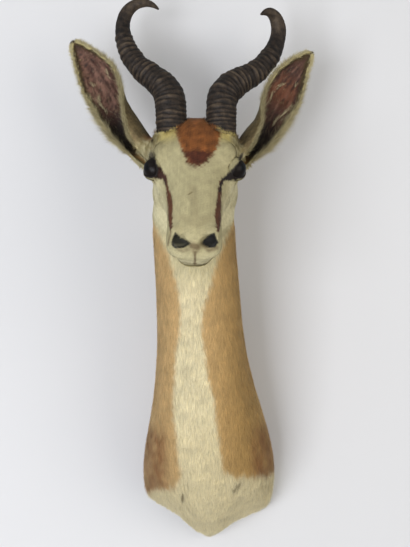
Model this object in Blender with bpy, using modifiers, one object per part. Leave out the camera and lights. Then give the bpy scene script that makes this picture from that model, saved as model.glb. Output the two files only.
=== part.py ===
"""Springbok shoulder mount: a taxidermy head and neck that hangs on a wall.

Metres, +Z up as it hangs, the wall at Y = 0 and the face looking along -Y.
The origin is the middle of the backing board's rear face.
"""

import math

import bmesh
import bpy
import numpy as np
from mathutils import Matrix, Vector

# Head: a line down the middle of the face, from between the horns to the nose.
HEAD_X = -0.0185
BROW_Y = -0.180
BROW_Z = 0.4015
FACE_TILT = math.radians(40.0)  # the face line's lean from the vertical
EYE_RADIUS = 0.0145
EYE_ALONG = 0.051
EYE_ABOVE = -0.0275
EYE_ACROSS = 0.0495
NOSTRIL_ALONG = 0.185
NOSTRIL_ACROSS = 0.0160
NOSTRIL_ABOVE = -0.0155
NOSTRIL_RADII = (0.0120, 0.0110, 0.0070)
NOSTRIL_TILT = math.radians(28)
MOUTH_ABOVE = -0.0465
MOUTH_MIDDLE_ALONG = 0.155
MOUTH_SLOT_REACH = 0.015
MOUTH_SLOT_HEIGHT = 0.0022
# Along and across, from the middle of the lips to the mouth's corner.
MOUTH_PATH = (
    (0.1915, 0.0),
    (0.1905, 0.0070),
    (0.1870, 0.0140),
    (0.1790, 0.0210),
    (0.1650, 0.0245),
    (0.1480, 0.0255),
    (0.1340, 0.0280),
)

# Backing board and the hide that wraps round it.
BOARD_THICKNESS = 0.012
BOARD_INSET = 0.014
BOARD_END_HALF_WIDTH = 0.004  # the board's two ends are cut blunt at this width
BIB_HALF_HEIGHT = 0.150
BIB_HALF_WIDTH = 0.090
WALL_EDGE_INSET = 0.006  # the hide's edge is drawn in by this much where it meets the wall
WALL_EDGE_DEPTH = 0.012
WALL_BLOCK_SIZE = (1.0, 0.5, 1.0)
WALL_BLOCK_HEIGHT = 0.1
FIT_GAP = 0.0004

# Horns.
HORN_RINGS = 31
HORN_RING_HEIGHT = 0.0022
HORN_RINGED_SHARE = 0.80
HORN_CROWDING = 0.45  # rings are this much closer at the base than half way up
HORN_CREST_SHARE = 0.55  # where a ring's crest lies between its two grooves
HORN_FADING_RINGS = 5
HORN_SMOOTH_STEPS = 12
HORN_LINE_STEPS = 12
HORN_SIDES = 10
HORN_DEPTH_RATIO = 1.16  # a horn is deeper front to back than it is wide
HORN_SOCKET_GAP = 0.0006
HORN_SOCKET_SHARE = 0.22  # how far up its length a horn stands in a socket's cutter
HORN_SOCKET_STEPS = 8

# Ears.
EAR_WALL = 0.0042
EAR_TURNED_OUT = 0.22  # sideways per metre forwards that an ear's opening faces
EAR_ARC_POINTS = 10

# Meshing of the furred body.
SIDE_POINTS = 32
MASS_MESH = (24, 16)
BALL_MESH = (14, 9)
NOSTRIL_MESH = (12, 7)
WELD = 0.00001
BODY_VOXEL = 0.0026
BODY_SMOOTHING = 12
BODY_SMOOTHING_FACTOR = 0.5
BODY_KEPT = 0.022

# Neck sections, wall first. Each runs from the nape to the throat: nape Y, nape Z, throat Y, throat Z,
# middle X, share of the bib outline, then half widths at OVAL_STATIONS of the way from nape to throat.
OVAL_STATIONS = (0.1, 0.3, 0.5, 0.7, 0.9)
NECK_SECTIONS = (
    (0.020, 0.150, 0.020, -0.152, 0.000, 1.00, 0.044, 0.062, 0.077, 0.087, 0.062),
    (0.000, 0.156, 0.000, -0.157, 0.000, 1.00, 0.044, 0.062, 0.077, 0.087, 0.062),
    (-0.010, 0.169, -0.027, -0.159, 0.000, 1.00, 0.044, 0.062, 0.077, 0.087, 0.062),
    (-0.021, 0.186, -0.071, -0.135, -0.001, 0.55, 0.042, 0.056, 0.071, 0.084, 0.062),
    (-0.034, 0.211, -0.120, -0.092, -0.004, 0.20, 0.037, 0.052, 0.064, 0.075, 0.058),
    (-0.046, 0.238, -0.157, -0.033, -0.009, 0.00, 0.034, 0.050, 0.060, 0.064, 0.048),
    (-0.055, 0.264, -0.177, 0.038, -0.012, 0.00, 0.032, 0.048, 0.056, 0.056, 0.040),
    (-0.063, 0.290, -0.188, 0.114, -0.015, 0.00, 0.031, 0.047, 0.0545, 0.053, 0.036),
    (-0.071, 0.318, -0.195, 0.190, -0.019, 0.00, 0.031, 0.047, 0.054, 0.051, 0.034),
    (-0.081, 0.347, -0.197, 0.238, -0.021, 0.00, 0.030, 0.047, 0.054, 0.050, 0.033),
    (-0.093, 0.372, -0.188, 0.272, -0.021, 0.00, 0.027, 0.042, 0.048, 0.044, 0.029),
    (-0.114, 0.388, -0.172, 0.315, -0.020, 0.00, 0.018, 0.028, 0.031, 0.028, 0.018),
)
NECK_STEPS = 4

# The hide's outline on the wall: share of the way from withers to brisket tip, half width left, right.
BIB_OUTLINE = (
    (0.05, 0.030, 0.030),
    (0.12, 0.040, 0.040),
    (0.20, 0.047, 0.046),
    (0.30, 0.055, 0.053),
    (0.40, 0.062, 0.063),
    (0.46, 0.0700, 0.0720),
    (0.54, 0.0800, 0.0820),
    (0.65, 0.092, 0.0915),
    (0.72, 0.094, 0.0940),
    (0.79, 0.0925, 0.0925),
    (0.83, 0.0870, 0.0905),
    (0.87, 0.0680, 0.0835),
    (0.90, 0.0490, 0.0660),
    (0.93, 0.0370, 0.0410),
    (0.965, 0.0250, 0.0245),
    (0.99, 0.0110, 0.0115),
)

# Head sections: distance along the face line, top and bottom above it, then half widths at HEAD_STATIONS
# of the way from the face to the jaw.
HEAD_STATIONS = (0.06, 0.2, 0.4, 0.6, 0.8, 0.95)
HEAD_SECTIONS = (
    (-0.056, -0.048, -0.062, 0.004, 0.008, 0.010, 0.010, 0.008, 0.004),
    (-0.047, -0.031, -0.078, 0.014, 0.024, 0.031, 0.031, 0.024, 0.012),
    (-0.026, -0.011, -0.102, 0.024, 0.041, 0.048, 0.047, 0.039, 0.022),
    (0.000, -0.002, -0.113, 0.029, 0.046, 0.053, 0.050, 0.041, 0.023),
    (0.026, 0.003, -0.113, 0.032, 0.049, 0.056, 0.051, 0.041, 0.022),
    (0.050, 0.003, -0.106, 0.029, 0.044, 0.051, 0.049, 0.039, 0.020),
    (0.072, 0.001, -0.096, 0.025, 0.038, 0.044, 0.043, 0.034, 0.018),
    (0.094, 0.000, -0.085, 0.022, 0.0335, 0.0385, 0.0385, 0.031, 0.016),
    (0.116, -0.001, -0.076, 0.0205, 0.0305, 0.0345, 0.034, 0.027, 0.014),
    (0.140, -0.001, -0.069, 0.019, 0.029, 0.0325, 0.0325, 0.026, 0.013),
    (0.162, -0.002, -0.066, 0.0175, 0.0285, 0.0335, 0.0325, 0.025, 0.013),
    (0.178, -0.005, -0.063, 0.0145, 0.0265, 0.0330, 0.0320, 0.0235, 0.012),
    (0.188, -0.013, -0.056, 0.009, 0.019, 0.0265, 0.0255, 0.018, 0.009),
    (0.194, -0.026, -0.049, 0.004, 0.009, 0.012, 0.012, 0.009, 0.004),
)
HEAD_STEPS = 3

# Rounded masses on the head: name, along, across, above, then the three radii.
HEAD_MASSES = (
    ("horn_base", -0.0036, 0.030, -0.0362, 0.029, 0.028, 0.029),
    ("brow", 0.036, 0.036, -0.016, 0.024, 0.018, 0.014),
    ("eyelids", 0.050, 0.0430, -0.033, 0.021, 0.0160, 0.018),
    ("cheekbone", 0.076, 0.034, -0.044, 0.026, 0.013, 0.016),
    ("jaw", 0.040, 0.040, -0.078, 0.034, 0.016, 0.030),
    ("upper_lip", 0.172, 0.018, -0.037, 0.020, 0.0150, 0.015),
    ("nostril_wing", 0.173, 0.0215, -0.015, 0.014, 0.0105, 0.012),
    ("chin", 0.172, 0.008, -0.055, 0.013, 0.013, 0.010),
)

# Each horn's own line, base first: X, Y, Z, then its half width there.
LEFT_HORN = (
    (-0.0480, -0.151, 0.380, 0.0180),
    (-0.0490, -0.150, 0.404, 0.0183),
    (-0.0500, -0.148, 0.426, 0.0186),
    (-0.0520, -0.144, 0.443, 0.0188),
    (-0.0600, -0.139, 0.458, 0.0176),
    (-0.0760, -0.130, 0.473, 0.0156),
    (-0.0930, -0.119, 0.488, 0.0137),
    (-0.1070, -0.107, 0.509, 0.0120),
    (-0.1150, -0.096, 0.531, 0.0104),
    (-0.1170, -0.090, 0.551, 0.0092),
    (-0.1120, -0.088, 0.568, 0.0087),
    (-0.1005, -0.090, 0.578, 0.0073),
    (-0.0870, -0.096, 0.579, 0.0056),
    (-0.0760, -0.104, 0.574, 0.0036),
    (-0.0680, -0.110, 0.567, 0.0013),
)
RIGHT_HORN = (
    (0.0145, -0.151, 0.380, 0.0178),
    (0.0150, -0.150, 0.404, 0.0181),
    (0.0155, -0.148, 0.428, 0.0181),
    (0.0170, -0.144, 0.442, 0.0186),
    (0.0240, -0.138, 0.454, 0.0184),
    (0.0390, -0.129, 0.467, 0.0164),
    (0.0570, -0.118, 0.478, 0.0145),
    (0.0730, -0.105, 0.494, 0.0131),
    (0.0850, -0.095, 0.512, 0.0119),
    (0.0920, -0.089, 0.530, 0.0106),
    (0.0940, -0.088, 0.546, 0.0102),
    (0.0900, -0.092, 0.559, 0.0088),
    (0.0825, -0.099, 0.565, 0.0067),
    (0.0755, -0.105, 0.564, 0.0044),
    (0.0690, -0.110, 0.560, 0.0014),
)

# Each ear, head end first: middle X, Y, Z, half width, half depth, then the opening's half angle and
# its turn outwards, in degrees.
LEFT_EAR = (
    (-0.060, -0.137, 0.352, 0.0160, 0.0165, 14, 34),
    (-0.073, -0.137, 0.363, 0.0165, 0.0165, 14, 34),
    (-0.085, -0.135, 0.374, 0.0175, 0.0170, 18, 34),
    (-0.098, -0.132, 0.388, 0.0190, 0.0180, 28, 34),
    (-0.109, -0.130, 0.402, 0.0205, 0.0185, 44, 32),
    (-0.119, -0.128, 0.416, 0.0210, 0.0185, 56, 24),
    (-0.128, -0.126, 0.430, 0.0215, 0.0180, 69, 14),
    (-0.135, -0.123, 0.445, 0.0230, 0.0170, 81, 6),
    (-0.143, -0.119, 0.462, 0.0255, 0.0155, 88, 0),
    (-0.150, -0.116, 0.478, 0.0255, 0.0135, 88, 0),
    (-0.160, -0.113, 0.493, 0.0200, 0.0110, 88, 0),
    (-0.171, -0.110, 0.508, 0.0135, 0.0080, 88, 0),
    (-0.179, -0.108, 0.519, 0.0070, 0.0055, 88, 0),
    (-0.183, -0.107, 0.525, 0.0025, 0.0030, 88, 0),
)
RIGHT_EAR = (
    (0.015, -0.137, 0.343, 0.0140, 0.0160, 14, 34),
    (0.027, -0.137, 0.353, 0.0145, 0.0165, 14, 34),
    (0.038, -0.135, 0.364, 0.0150, 0.0170, 18, 34),
    (0.051, -0.132, 0.378, 0.0165, 0.0180, 30, 34),
    (0.063, -0.130, 0.391, 0.0185, 0.0185, 46, 32),
    (0.074, -0.128, 0.404, 0.0180, 0.0185, 58, 24),
    (0.083, -0.126, 0.418, 0.0200, 0.0180, 71, 14),
    (0.090, -0.123, 0.434, 0.0230, 0.0170, 83, 6),
    (0.098, -0.119, 0.450, 0.0240, 0.0155, 88, 0),
    (0.1045, -0.116, 0.466, 0.0225, 0.0135, 88, 0),
    (0.1125, -0.113, 0.480, 0.0185, 0.0110, 88, 0),
    (0.1220, -0.110, 0.493, 0.0130, 0.0080, 88, 0),
    (0.132, -0.108, 0.504, 0.0065, 0.0055, 88, 0),
    (0.138, -0.107, 0.510, 0.0025, 0.0030, 88, 0),
)


def clear_scene():
    """Takes out whatever the file starts with."""
    for thing in list(bpy.data.objects):
        bpy.data.objects.remove(thing)


def new_collection(name):
    """A collection in the scene."""
    made = bpy.data.collections.new(name)
    bpy.context.scene.collection.children.link(made)
    return made


def finish(name, colour, roughness, metallic=0.0):
    """A plain material of one colour."""
    material = bpy.data.materials.new(name)
    material.use_nodes = True
    shader = material.node_tree.nodes["Principled BSDF"]
    shader.inputs["Base Color"].default_value = (*colour, 1.0)
    shader.inputs["Roughness"].default_value = roughness
    shader.inputs["Metallic"].default_value = metallic
    return material


def add_object(name, mesh, collection, material=None):
    """An object that holds a mesh."""
    made = bpy.data.objects.new(name, mesh)
    collection.objects.link(made)
    if material:
        mesh.materials.append(material)
    return made


def as_cutter(thing):
    """Shows a shape as a wire only, because it just cuts or fills out another."""
    thing.hide_render = True
    thing.display_type = "WIRE"
    return thing


def boolean(target, cutter, operation):
    """Cuts a shape out of the target or joins it on."""
    modifier = target.modifiers.new(cutter.name, "BOOLEAN")
    modifier.operation = operation
    modifier.object = cutter


def smooth(wanted, known, values):
    """A smooth curve through the values known at these places, read where wanted."""
    known = np.asarray(known, float)
    values = np.asarray(values, float)
    slopes = np.gradient(values, known, axis=0)
    wanted = np.clip(np.asarray(wanted, float), known[0], known[-1])
    left = np.clip(np.searchsorted(known, wanted, side="right") - 1, 0, len(known) - 2)
    width = known[left + 1] - known[left]
    t = (wanted - known[left]) / width
    if values.ndim > 1:
        t, width = t[:, None], width[:, None]
    from_left = (1 + 2 * t) * (1 - t) ** 2 * values[left] + t * (1 - t) ** 2 * width * slopes[left]
    from_right = t * t * (3 - 2 * t) * values[left + 1] - t * t * (1 - t) * width * slopes[left + 1]
    return from_left + from_right


def smooth_rows(rows, steps):
    """The table's rows with steps - 1 smooth rows put in between each two."""
    index = np.arange(len(rows))
    wanted = np.linspace(0, len(rows) - 1, (len(rows) - 1) * steps + 1)
    return smooth(wanted, index, rows)


def section_turns():
    """Angles down one side of a section, and the share of the way down that each gives."""
    turns = np.linspace(0, math.pi, SIDE_POINTS + 1)
    return turns, (1 - np.cos(turns)) / 2


def side_widths(stations, widths):
    """Half widths down one side, closing to nothing at both ends as an oval does."""
    stations = np.asarray(stations, float)
    turns, _ = section_turns()
    known = np.arccos(1 - 2 * stations)
    fullness = np.asarray(widths, float) / np.sin(known)
    known = np.concatenate([[0.0], known, [math.pi]])
    fullness = np.concatenate([fullness[:1], fullness, fullness[-1:]])
    return smooth(turns, known, fullness) * np.sin(turns)


def ring(top, bottom, middle_x, left, right):
    """A closed section: down the right side from top to bottom and back up the left."""
    _, shares = section_turns()
    down = [Vector(top).lerp(Vector(bottom), share) for share in shares]
    points = [(middle_x + right[i], down[i].y, down[i].z) for i in range(SIDE_POINTS + 1)]
    points += [(middle_x - left[i], down[i].y, down[i].z) for i in range(SIDE_POINTS - 1, 0, -1)]
    return points


def loft(name, rings, closed_ring=True):
    """A mesh skinned over rings of equal length, with its two ends filled if the rings are closed."""
    shape = bmesh.new()
    rows = [[shape.verts.new(point) for point in points] for points in rings]
    count = len(rows[0])
    for lower, upper in zip(rows, rows[1:]):
        for i in range(count if closed_ring else count - 1):
            j = (i + 1) % count
            shape.faces.new((lower[i], lower[j], upper[j], upper[i]))
    if closed_ring:
        shape.faces.new(list(reversed(rows[0])))
        shape.faces.new(rows[-1])
        bmesh.ops.recalc_face_normals(shape, faces=shape.faces)
    mesh = bpy.data.meshes.new(name)
    shape.to_mesh(mesh)
    shape.free()
    return mesh


def bib_widths(inset=0.0):
    """Half widths of the hide's outline on the wall, left and right."""
    stations = [row[0] for row in BIB_OUTLINE]
    left = side_widths(stations, [row[1] for row in BIB_OUTLINE])
    right = side_widths(stations, [row[2] for row in BIB_OUTLINE])
    return np.maximum(left - inset, 0.0), np.maximum(right - inset, 0.0)


def neck_mesh():
    """The neck and chest, from behind the wall up into the head."""
    bib_left, bib_right = bib_widths()
    rings = []
    for row in smooth_rows(NECK_SECTIONS, NECK_STEPS):
        nape_y, nape_z, throat_y, throat_z, middle_x, bib_share = row[:6]
        oval = side_widths(OVAL_STATIONS, row[6:])
        bib_share = min(max(bib_share, 0.0), 1.0)
        left = bib_share * bib_left + (1 - bib_share) * oval
        right = bib_share * bib_right + (1 - bib_share) * oval
        at_wall = min(max(1 + nape_y / WALL_EDGE_DEPTH, 0.0), 1.0)
        edge = 1 - at_wall * WALL_EDGE_INSET / BIB_HALF_WIDTH
        rings.append(ring((0, nape_y, nape_z), (0, throat_y, throat_z), middle_x, left * edge, right * edge))
    return loft("neck_form", rings)


def head_point(along, across, above):
    """A place on the head: along the face line from the brow, across it, and above it."""
    down_face = Vector((0, -math.sin(FACE_TILT), -math.cos(FACE_TILT)))
    off_face = Vector((0, -math.cos(FACE_TILT), math.sin(FACE_TILT)))
    brow = Vector((HEAD_X, BROW_Y, BROW_Z))
    return brow + down_face * along + off_face * above + Vector((across, 0, 0))


def head_turn():
    """The head's own axes as a rotation: x across, y along the face, z off the face."""
    down_face = head_point(1, 0, 0) - head_point(0, 0, 0)
    off_face = head_point(0, 0, 1) - head_point(0, 0, 0)
    across = down_face.cross(off_face)
    return Matrix((across, down_face, off_face)).transposed()


def head_mesh():
    """The skull and muzzle under their skin."""
    rings = []
    for row in smooth_rows(HEAD_SECTIONS, HEAD_STEPS):
        along, top, bottom = row[:3]
        widths = side_widths(HEAD_STATIONS, row[3:])
        rings.append(ring(head_point(along, 0, top), head_point(along, 0, bottom), HEAD_X, widths, widths))
    return loft("head_form", rings)


def ellipsoid(name, centre, radii, turn, fineness):
    """A sphere stretched to three radii, turned and placed. fineness is its segments and its rows."""
    shape = bmesh.new()
    bmesh.ops.create_uvsphere(shape, u_segments=fineness[0], v_segments=fineness[1], radius=1.0)
    placed = Matrix.Translation(centre) @ turn.to_4x4() @ Matrix.Diagonal((*radii, 1.0))
    bmesh.ops.transform(shape, matrix=placed, verts=shape.verts)
    mesh = bpy.data.meshes.new(name)
    shape.to_mesh(mesh)
    shape.free()
    return mesh


def head_masses():
    """Horn bases, brows, eyelids, cheeks and lips as rounded lumps, one on each side."""
    made = []
    for name, along, across, above, along_radius, across_radius, above_radius in HEAD_MASSES:
        for side in (-1, 1):
            centre = head_point(along, side * across, above)
            radii = (across_radius, along_radius, above_radius)
            made.append(ellipsoid(name, centre, radii, head_turn(), MASS_MESH))
    return made


def ring_stations():
    """Places along a horn as shares of its length, and how far each stands out, from 0 to 1."""
    grooves = np.arange(HORN_RINGS + 1) / HORN_RINGS
    spread = 1 + HORN_CROWDING
    grooves = (spread - np.sqrt(spread**2 - 4 * HORN_CROWDING * grooves)) / (2 * HORN_CROWDING)
    grooves *= HORN_RINGED_SHARE
    shares, swells = [], []
    for number, (start, end) in enumerate(zip(grooves, grooves[1:])):
        shares += [start, start + HORN_CREST_SHARE * (end - start)]
        swells += [0.0, min(1.0, (HORN_RINGS - number) / HORN_FADING_RINGS)]
    beyond = np.linspace(HORN_RINGED_SHARE, 1.0, HORN_SMOOTH_STEPS)
    return np.array([*shares, *beyond]), np.array([*swells, *np.zeros(HORN_SMOOTH_STEPS)])


def horn_places(rows, shares):
    """The horn's line at these shares of its length: X, Y, Z and half width."""
    fine = smooth_rows(rows, HORN_LINE_STEPS)
    lengths = np.linalg.norm(np.diff(fine[:, :3], axis=0), axis=1)
    along = np.concatenate([[0.0], np.cumsum(lengths)])
    return smooth(shares * along[-1], along, fine)


def horn_rings(rows, shares, swells):
    """Rings of points round a horn's line, each square to it and standing out by its own swell."""
    places = horn_places(rows, shares)
    centres = [Vector(place[:3]) for place in places]
    backwards = Vector((0, 1, 0))
    rings = []
    for i, centre in enumerate(centres):
        ahead = (centres[min(i + 1, len(centres) - 1)] - centres[max(i - 1, 0)]).normalized()
        deep = (backwards - ahead * backwards.dot(ahead)).normalized()
        wide = ahead.cross(deep)
        depth_ratio = 1 + (HORN_DEPTH_RATIO - 1) * (1 - shares[i])
        reach = places[i][3] + swells[i]
        points = []
        for turn in np.arange(HORN_SIDES) * math.tau / HORN_SIDES:
            points.append(
                centre + wide * reach * math.cos(turn) + deep * reach * depth_ratio * math.sin(turn)
            )
        rings.append(points)
    return rings


def ear_rings(rows, outwards):
    """Arcs across an ear, from the head to the tip. outwards is -1 for the left ear and 1 for the right."""
    centres = [Vector(row[:3]) for row in rows]
    rings = []
    for i, row in enumerate(rows):
        ahead = (centres[min(i + 1, len(centres) - 1)] - centres[max(i - 1, 0)]).normalized()
        forwards = Vector((EAR_TURNED_OUT * outwards, -1.0, 0.0))
        forwards = (forwards - ahead * forwards.dot(ahead)).normalized()
        aside = ahead.cross(forwards) * outwards
        half_width, half_depth, opening, turned = row[3:]
        opening, turned = math.radians(opening), math.radians(turned)
        points = []
        for turn in np.linspace(turned + opening, turned + math.tau - opening, EAR_ARC_POINTS):
            points.append(
                centres[i]
                + aside * half_width * math.sin(turn)
                + forwards * half_depth * math.cos(turn)
            )
        rings.append(points)
    return rings


def ear_object(name, rows, outwards, collection):
    """An ear as a cupped leaf of hide."""
    ear = add_object(name, loft(name, ear_rings(rows, outwards), closed_ring=False), collection)
    wall = ear.modifiers.new("wall", "SOLIDIFY")
    wall.thickness = EAR_WALL
    wall.offset = 0.0
    wall.use_even_offset = False
    return as_cutter(ear)


def mouth_slot():
    """A flat band that stands out from the lips all round the muzzle, to cut the line of the mouth."""
    path = [(along, across) for along, across in reversed(MOUTH_PATH)]
    path += [(along, -across) for along, across in MOUTH_PATH[1:]]
    rings = []
    for along, across in path:
        outwards = Vector((across, along - MOUTH_MIDDLE_ALONG)).normalized() * MOUTH_SLOT_REACH
        corners = []
        for step, height in ((0, -1), (1, -1), (1, 1), (0, 1)):
            above = MOUTH_ABOVE + height * MOUTH_SLOT_HEIGHT / 2
            corners.append(head_point(along + step * outwards.y, across + step * outwards.x, above))
        rings.append(corners)
    return loft("mouth_line", rings)


def mesh_of_curve(thing, collection):
    """Turns a curve object into a closed mesh object of the same name."""
    bpy.context.view_layer.update()
    evaluated = thing.evaluated_get(bpy.context.evaluated_depsgraph_get())
    mesh = bpy.data.meshes.new_from_object(evaluated)
    shape = bmesh.new()
    shape.from_mesh(mesh)
    bmesh.ops.remove_doubles(shape, verts=shape.verts, dist=WELD)
    bmesh.ops.recalc_face_normals(shape, faces=shape.faces)
    shape.to_mesh(mesh)
    shape.free()
    name = thing.name
    placed = thing.matrix_world.copy()
    bpy.data.objects.remove(thing)
    made = add_object(name, mesh, collection)
    made.matrix_world = placed
    return made


def board_curve(name, inset, thickness, collection):
    """The backing board's outline, cut from a sheet that stands against the wall."""
    left, right = bib_widths(inset + WALL_EDGE_INSET)
    _, shares = section_turns()
    top, bottom = BIB_HALF_HEIGHT - inset, inset - BIB_HALF_HEIGHT
    outline = [(right[i], top + (bottom - top) * shares[i]) for i in range(1, SIDE_POINTS)]
    outline += [(-left[i], top + (bottom - top) * shares[i]) for i in range(SIDE_POINTS - 1, 0, -1)]
    outline = [point for point in outline if abs(point[0]) > BOARD_END_HALF_WIDTH]
    curve = bpy.data.curves.new(name, "CURVE")
    curve.dimensions = "2D"
    curve.fill_mode = "BOTH"
    curve.extrude = thickness / 2
    spline = curve.splines.new("POLY")
    spline.points.add(len(outline) - 1)
    spline.use_cyclic_u = True
    for point, (x, z) in zip(spline.points, outline):
        point.co = (x, z, 0.0, 1.0)
    made = bpy.data.objects.new(name, curve)
    made.rotation_euler = (math.pi / 2, 0, 0)
    made.location = (0, -thickness / 2, 0)
    collection.objects.link(made)
    return made


def wall_block(collection):
    """Everything behind the wall's face."""
    shape = bmesh.new()
    bmesh.ops.create_cube(shape, size=1.0)
    middle = Matrix.Translation((0, WALL_BLOCK_SIZE[1] / 2, WALL_BLOCK_HEIGHT))
    placed = middle @ Matrix.Diagonal((*WALL_BLOCK_SIZE, 1.0))
    bmesh.ops.transform(shape, matrix=placed, verts=shape.verts)
    mesh = bpy.data.meshes.new("behind_wall")
    shape.to_mesh(mesh)
    shape.free()
    return as_cutter(add_object("behind_wall", mesh, collection))


def join_meshes(name, meshes, collection, material):
    """One object that holds several overlapping closed meshes."""
    shape = bmesh.new()
    for mesh in meshes:
        shape.from_mesh(mesh)
        bpy.data.meshes.remove(mesh)
    joined = bpy.data.meshes.new(name)
    shape.to_mesh(joined)
    shape.free()
    return add_object(name, joined, collection, material)


def eye_centre(side):
    """The middle of an eyeball."""
    return head_point(EYE_ALONG, side * EYE_ACROSS, EYE_ABOVE)


def ball(name, side, radius):
    """A ball round the middle of an eye."""
    return ellipsoid(name, eye_centre(side), [radius] * 3, Matrix.Identity(3), BALL_MESH)


def nostril(name, side):
    """The hollow of a nostril, its outer end turned up."""
    centre = head_point(NOSTRIL_ALONG, side * NOSTRIL_ACROSS, NOSTRIL_ABOVE)
    tilt = head_turn() @ Matrix.Rotation(side * NOSTRIL_TILT, 3, "Y")
    return ellipsoid(name, centre, NOSTRIL_RADII, tilt, NOSTRIL_MESH)


def horn_socket(name, rows):
    """The room that a horn's foot takes up in the head."""
    shares = np.linspace(0, HORN_SOCKET_SHARE, HORN_SOCKET_STEPS)
    rings = horn_rings(rows, shares, np.full(HORN_SOCKET_STEPS, HORN_RING_HEIGHT + HORN_SOCKET_GAP))
    deepest = [point - Vector((0, 0, HORN_SOCKET_GAP)) for point in rings[0]]
    return loft(name, [deepest, *rings])


def build_hide(parts, cutters, horns):
    """The tanned skin over its form: neck, head and ears, with room for the other pieces."""
    fur = finish("short tan and white coat", (0.52, 0.38, 0.22), 0.85)
    hide = join_meshes("hide", [neck_mesh(), head_mesh(), *head_masses()], parts, fur)
    skin = hide.modifiers.new("skin", "REMESH")
    skin.mode = "VOXEL"
    skin.voxel_size = BODY_VOXEL
    skin.use_smooth_shade = True
    soften = hide.modifiers.new("soften", "SMOOTH")
    soften.factor = BODY_SMOOTHING_FACTOR
    soften.iterations = BODY_SMOOTHING
    coarse = hide.modifiers.new("coarse", "DECIMATE")
    coarse.ratio = BODY_KEPT
    boolean(hide, wall_block(cutters), "DIFFERENCE")
    pocket = mesh_of_curve(
        board_curve("board_pocket", BOARD_INSET - FIT_GAP, 2 * (BOARD_THICKNESS + FIT_GAP), cutters), cutters
    )
    pocket.location.y = 0.0
    boolean(hide, as_cutter(pocket), "DIFFERENCE")
    boolean(hide, ear_object("left_ear_form", LEFT_EAR, -1, cutters), "UNION")
    boolean(hide, ear_object("right_ear_form", RIGHT_EAR, 1, cutters), "UNION")
    holes = [mouth_slot()]
    for side, word in ((-1, "left"), (1, "right")):
        holes.append(ball(f"{word}_eye_socket", side, EYE_RADIUS + FIT_GAP))
        holes.append(nostril(f"{word}_nostril", side))
    holes += [horn_socket(f"{word}_horn_socket", rows) for word, rows in horns]
    for hole in holes:
        boolean(hide, as_cutter(add_object(hole.name, hole, cutters)), "DIFFERENCE")


def build_horn(word, rows, parts, material):
    """A ringed horn, closed flat where it stands in the head."""
    shares, swells = ring_stations()
    rings = horn_rings(rows, shares, swells * HORN_RING_HEIGHT)
    horn = add_object(f"horn_{word}", loft(f"horn_{word}", rings), parts, material)
    horn.data.shade_smooth()


def build_eye(word, side, parts, material):
    """A glass eye, a ball as far as the lids show it."""
    eye = add_object(f"eye_{word}", ball(f"eye_{word}", side, EYE_RADIUS), parts, material)
    eye.data.shade_smooth()


def main():
    """Builds the mount, one object for each piece."""
    clear_scene()
    parts = new_collection("Springbok shoulder mount")
    cutters = new_collection("Cutters")
    horns = (("left", LEFT_HORN), ("right", RIGHT_HORN))
    build_hide(parts, cutters, horns)
    keratin = finish("dark ringed horn", (0.035, 0.026, 0.020), 0.55)
    glass = finish("black-brown glass", (0.012, 0.008, 0.006), 0.05)
    wood = finish("planed pine", (0.50, 0.34, 0.18), 0.70)
    for word, rows in horns:
        build_horn(word, rows, parts, keratin)
    build_eye("left", -1, parts, glass)
    build_eye("right", 1, parts, glass)
    board = board_curve("back_board", BOARD_INSET, BOARD_THICKNESS, parts)
    board.data.materials.append(wood)


main()
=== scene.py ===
"""Springbok shoulder mount: the looks of a taxidermy head and neck that hangs on a wall.

Metres, +Z up as it hangs, the wall at Y = 0 and the face looking along -Y.
"""

from __future__ import annotations

import logging
import math
from dataclasses import dataclass, field, fields
from enum import Enum

import bpy
import numpy as np
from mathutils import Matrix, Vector

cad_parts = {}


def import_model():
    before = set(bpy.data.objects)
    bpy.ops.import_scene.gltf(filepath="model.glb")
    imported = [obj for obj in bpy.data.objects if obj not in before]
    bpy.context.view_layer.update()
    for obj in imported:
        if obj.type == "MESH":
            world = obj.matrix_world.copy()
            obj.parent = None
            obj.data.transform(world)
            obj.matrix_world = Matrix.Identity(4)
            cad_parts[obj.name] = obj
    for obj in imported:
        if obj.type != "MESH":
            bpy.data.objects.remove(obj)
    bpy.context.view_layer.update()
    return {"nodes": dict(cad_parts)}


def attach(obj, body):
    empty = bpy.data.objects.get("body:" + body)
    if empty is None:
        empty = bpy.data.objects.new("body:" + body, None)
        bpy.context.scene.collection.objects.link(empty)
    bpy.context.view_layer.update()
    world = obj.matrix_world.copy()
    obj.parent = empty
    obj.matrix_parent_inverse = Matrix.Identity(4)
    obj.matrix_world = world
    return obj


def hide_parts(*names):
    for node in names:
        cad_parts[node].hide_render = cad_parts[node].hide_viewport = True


LOG = logging.getLogger("springbok_mount")
MM = 0.001
ROOT = "root"
COAT_COLOUR = "coat_colour"
RIDGE = "ridge"

Rows = tuple[tuple[float, ...], ...]
Outline = tuple[tuple[float, float], ...]


class Side(Enum):
    """A side of the mount as one looks at it on the wall."""

    LEFT = -1
    RIGHT = 1


class Slot(Enum):
    """Names of the record's material slots."""

    COAT = "coat"
    HORN = "horn"
    EYE = "eye"


# Numbers and vectors


def linear(colour: str) -> np.ndarray:
    """Turns an sRGB hex colour to linear light.

    Args:
        colour: the colour as "#RRGGBB".

    Returns:
        Its red, green and blue.
    """
    channels = np.array([int(colour[i : i + 2], 16) / 255 for i in (1, 3, 5)])
    return np.where(channels <= 0.04045, channels / 12.92, ((channels + 0.055) / 1.055) ** 2.4)


def unit(vectors: np.ndarray) -> np.ndarray:
    """The same directions with a length of one."""
    return vectors / np.maximum(np.linalg.norm(vectors, axis=-1, keepdims=True), 1e-12)


def dot(a: np.ndarray, b: np.ndarray) -> np.ndarray:
    """Row by row products of two sets of vectors."""
    return (a * b).sum(-1)


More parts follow.
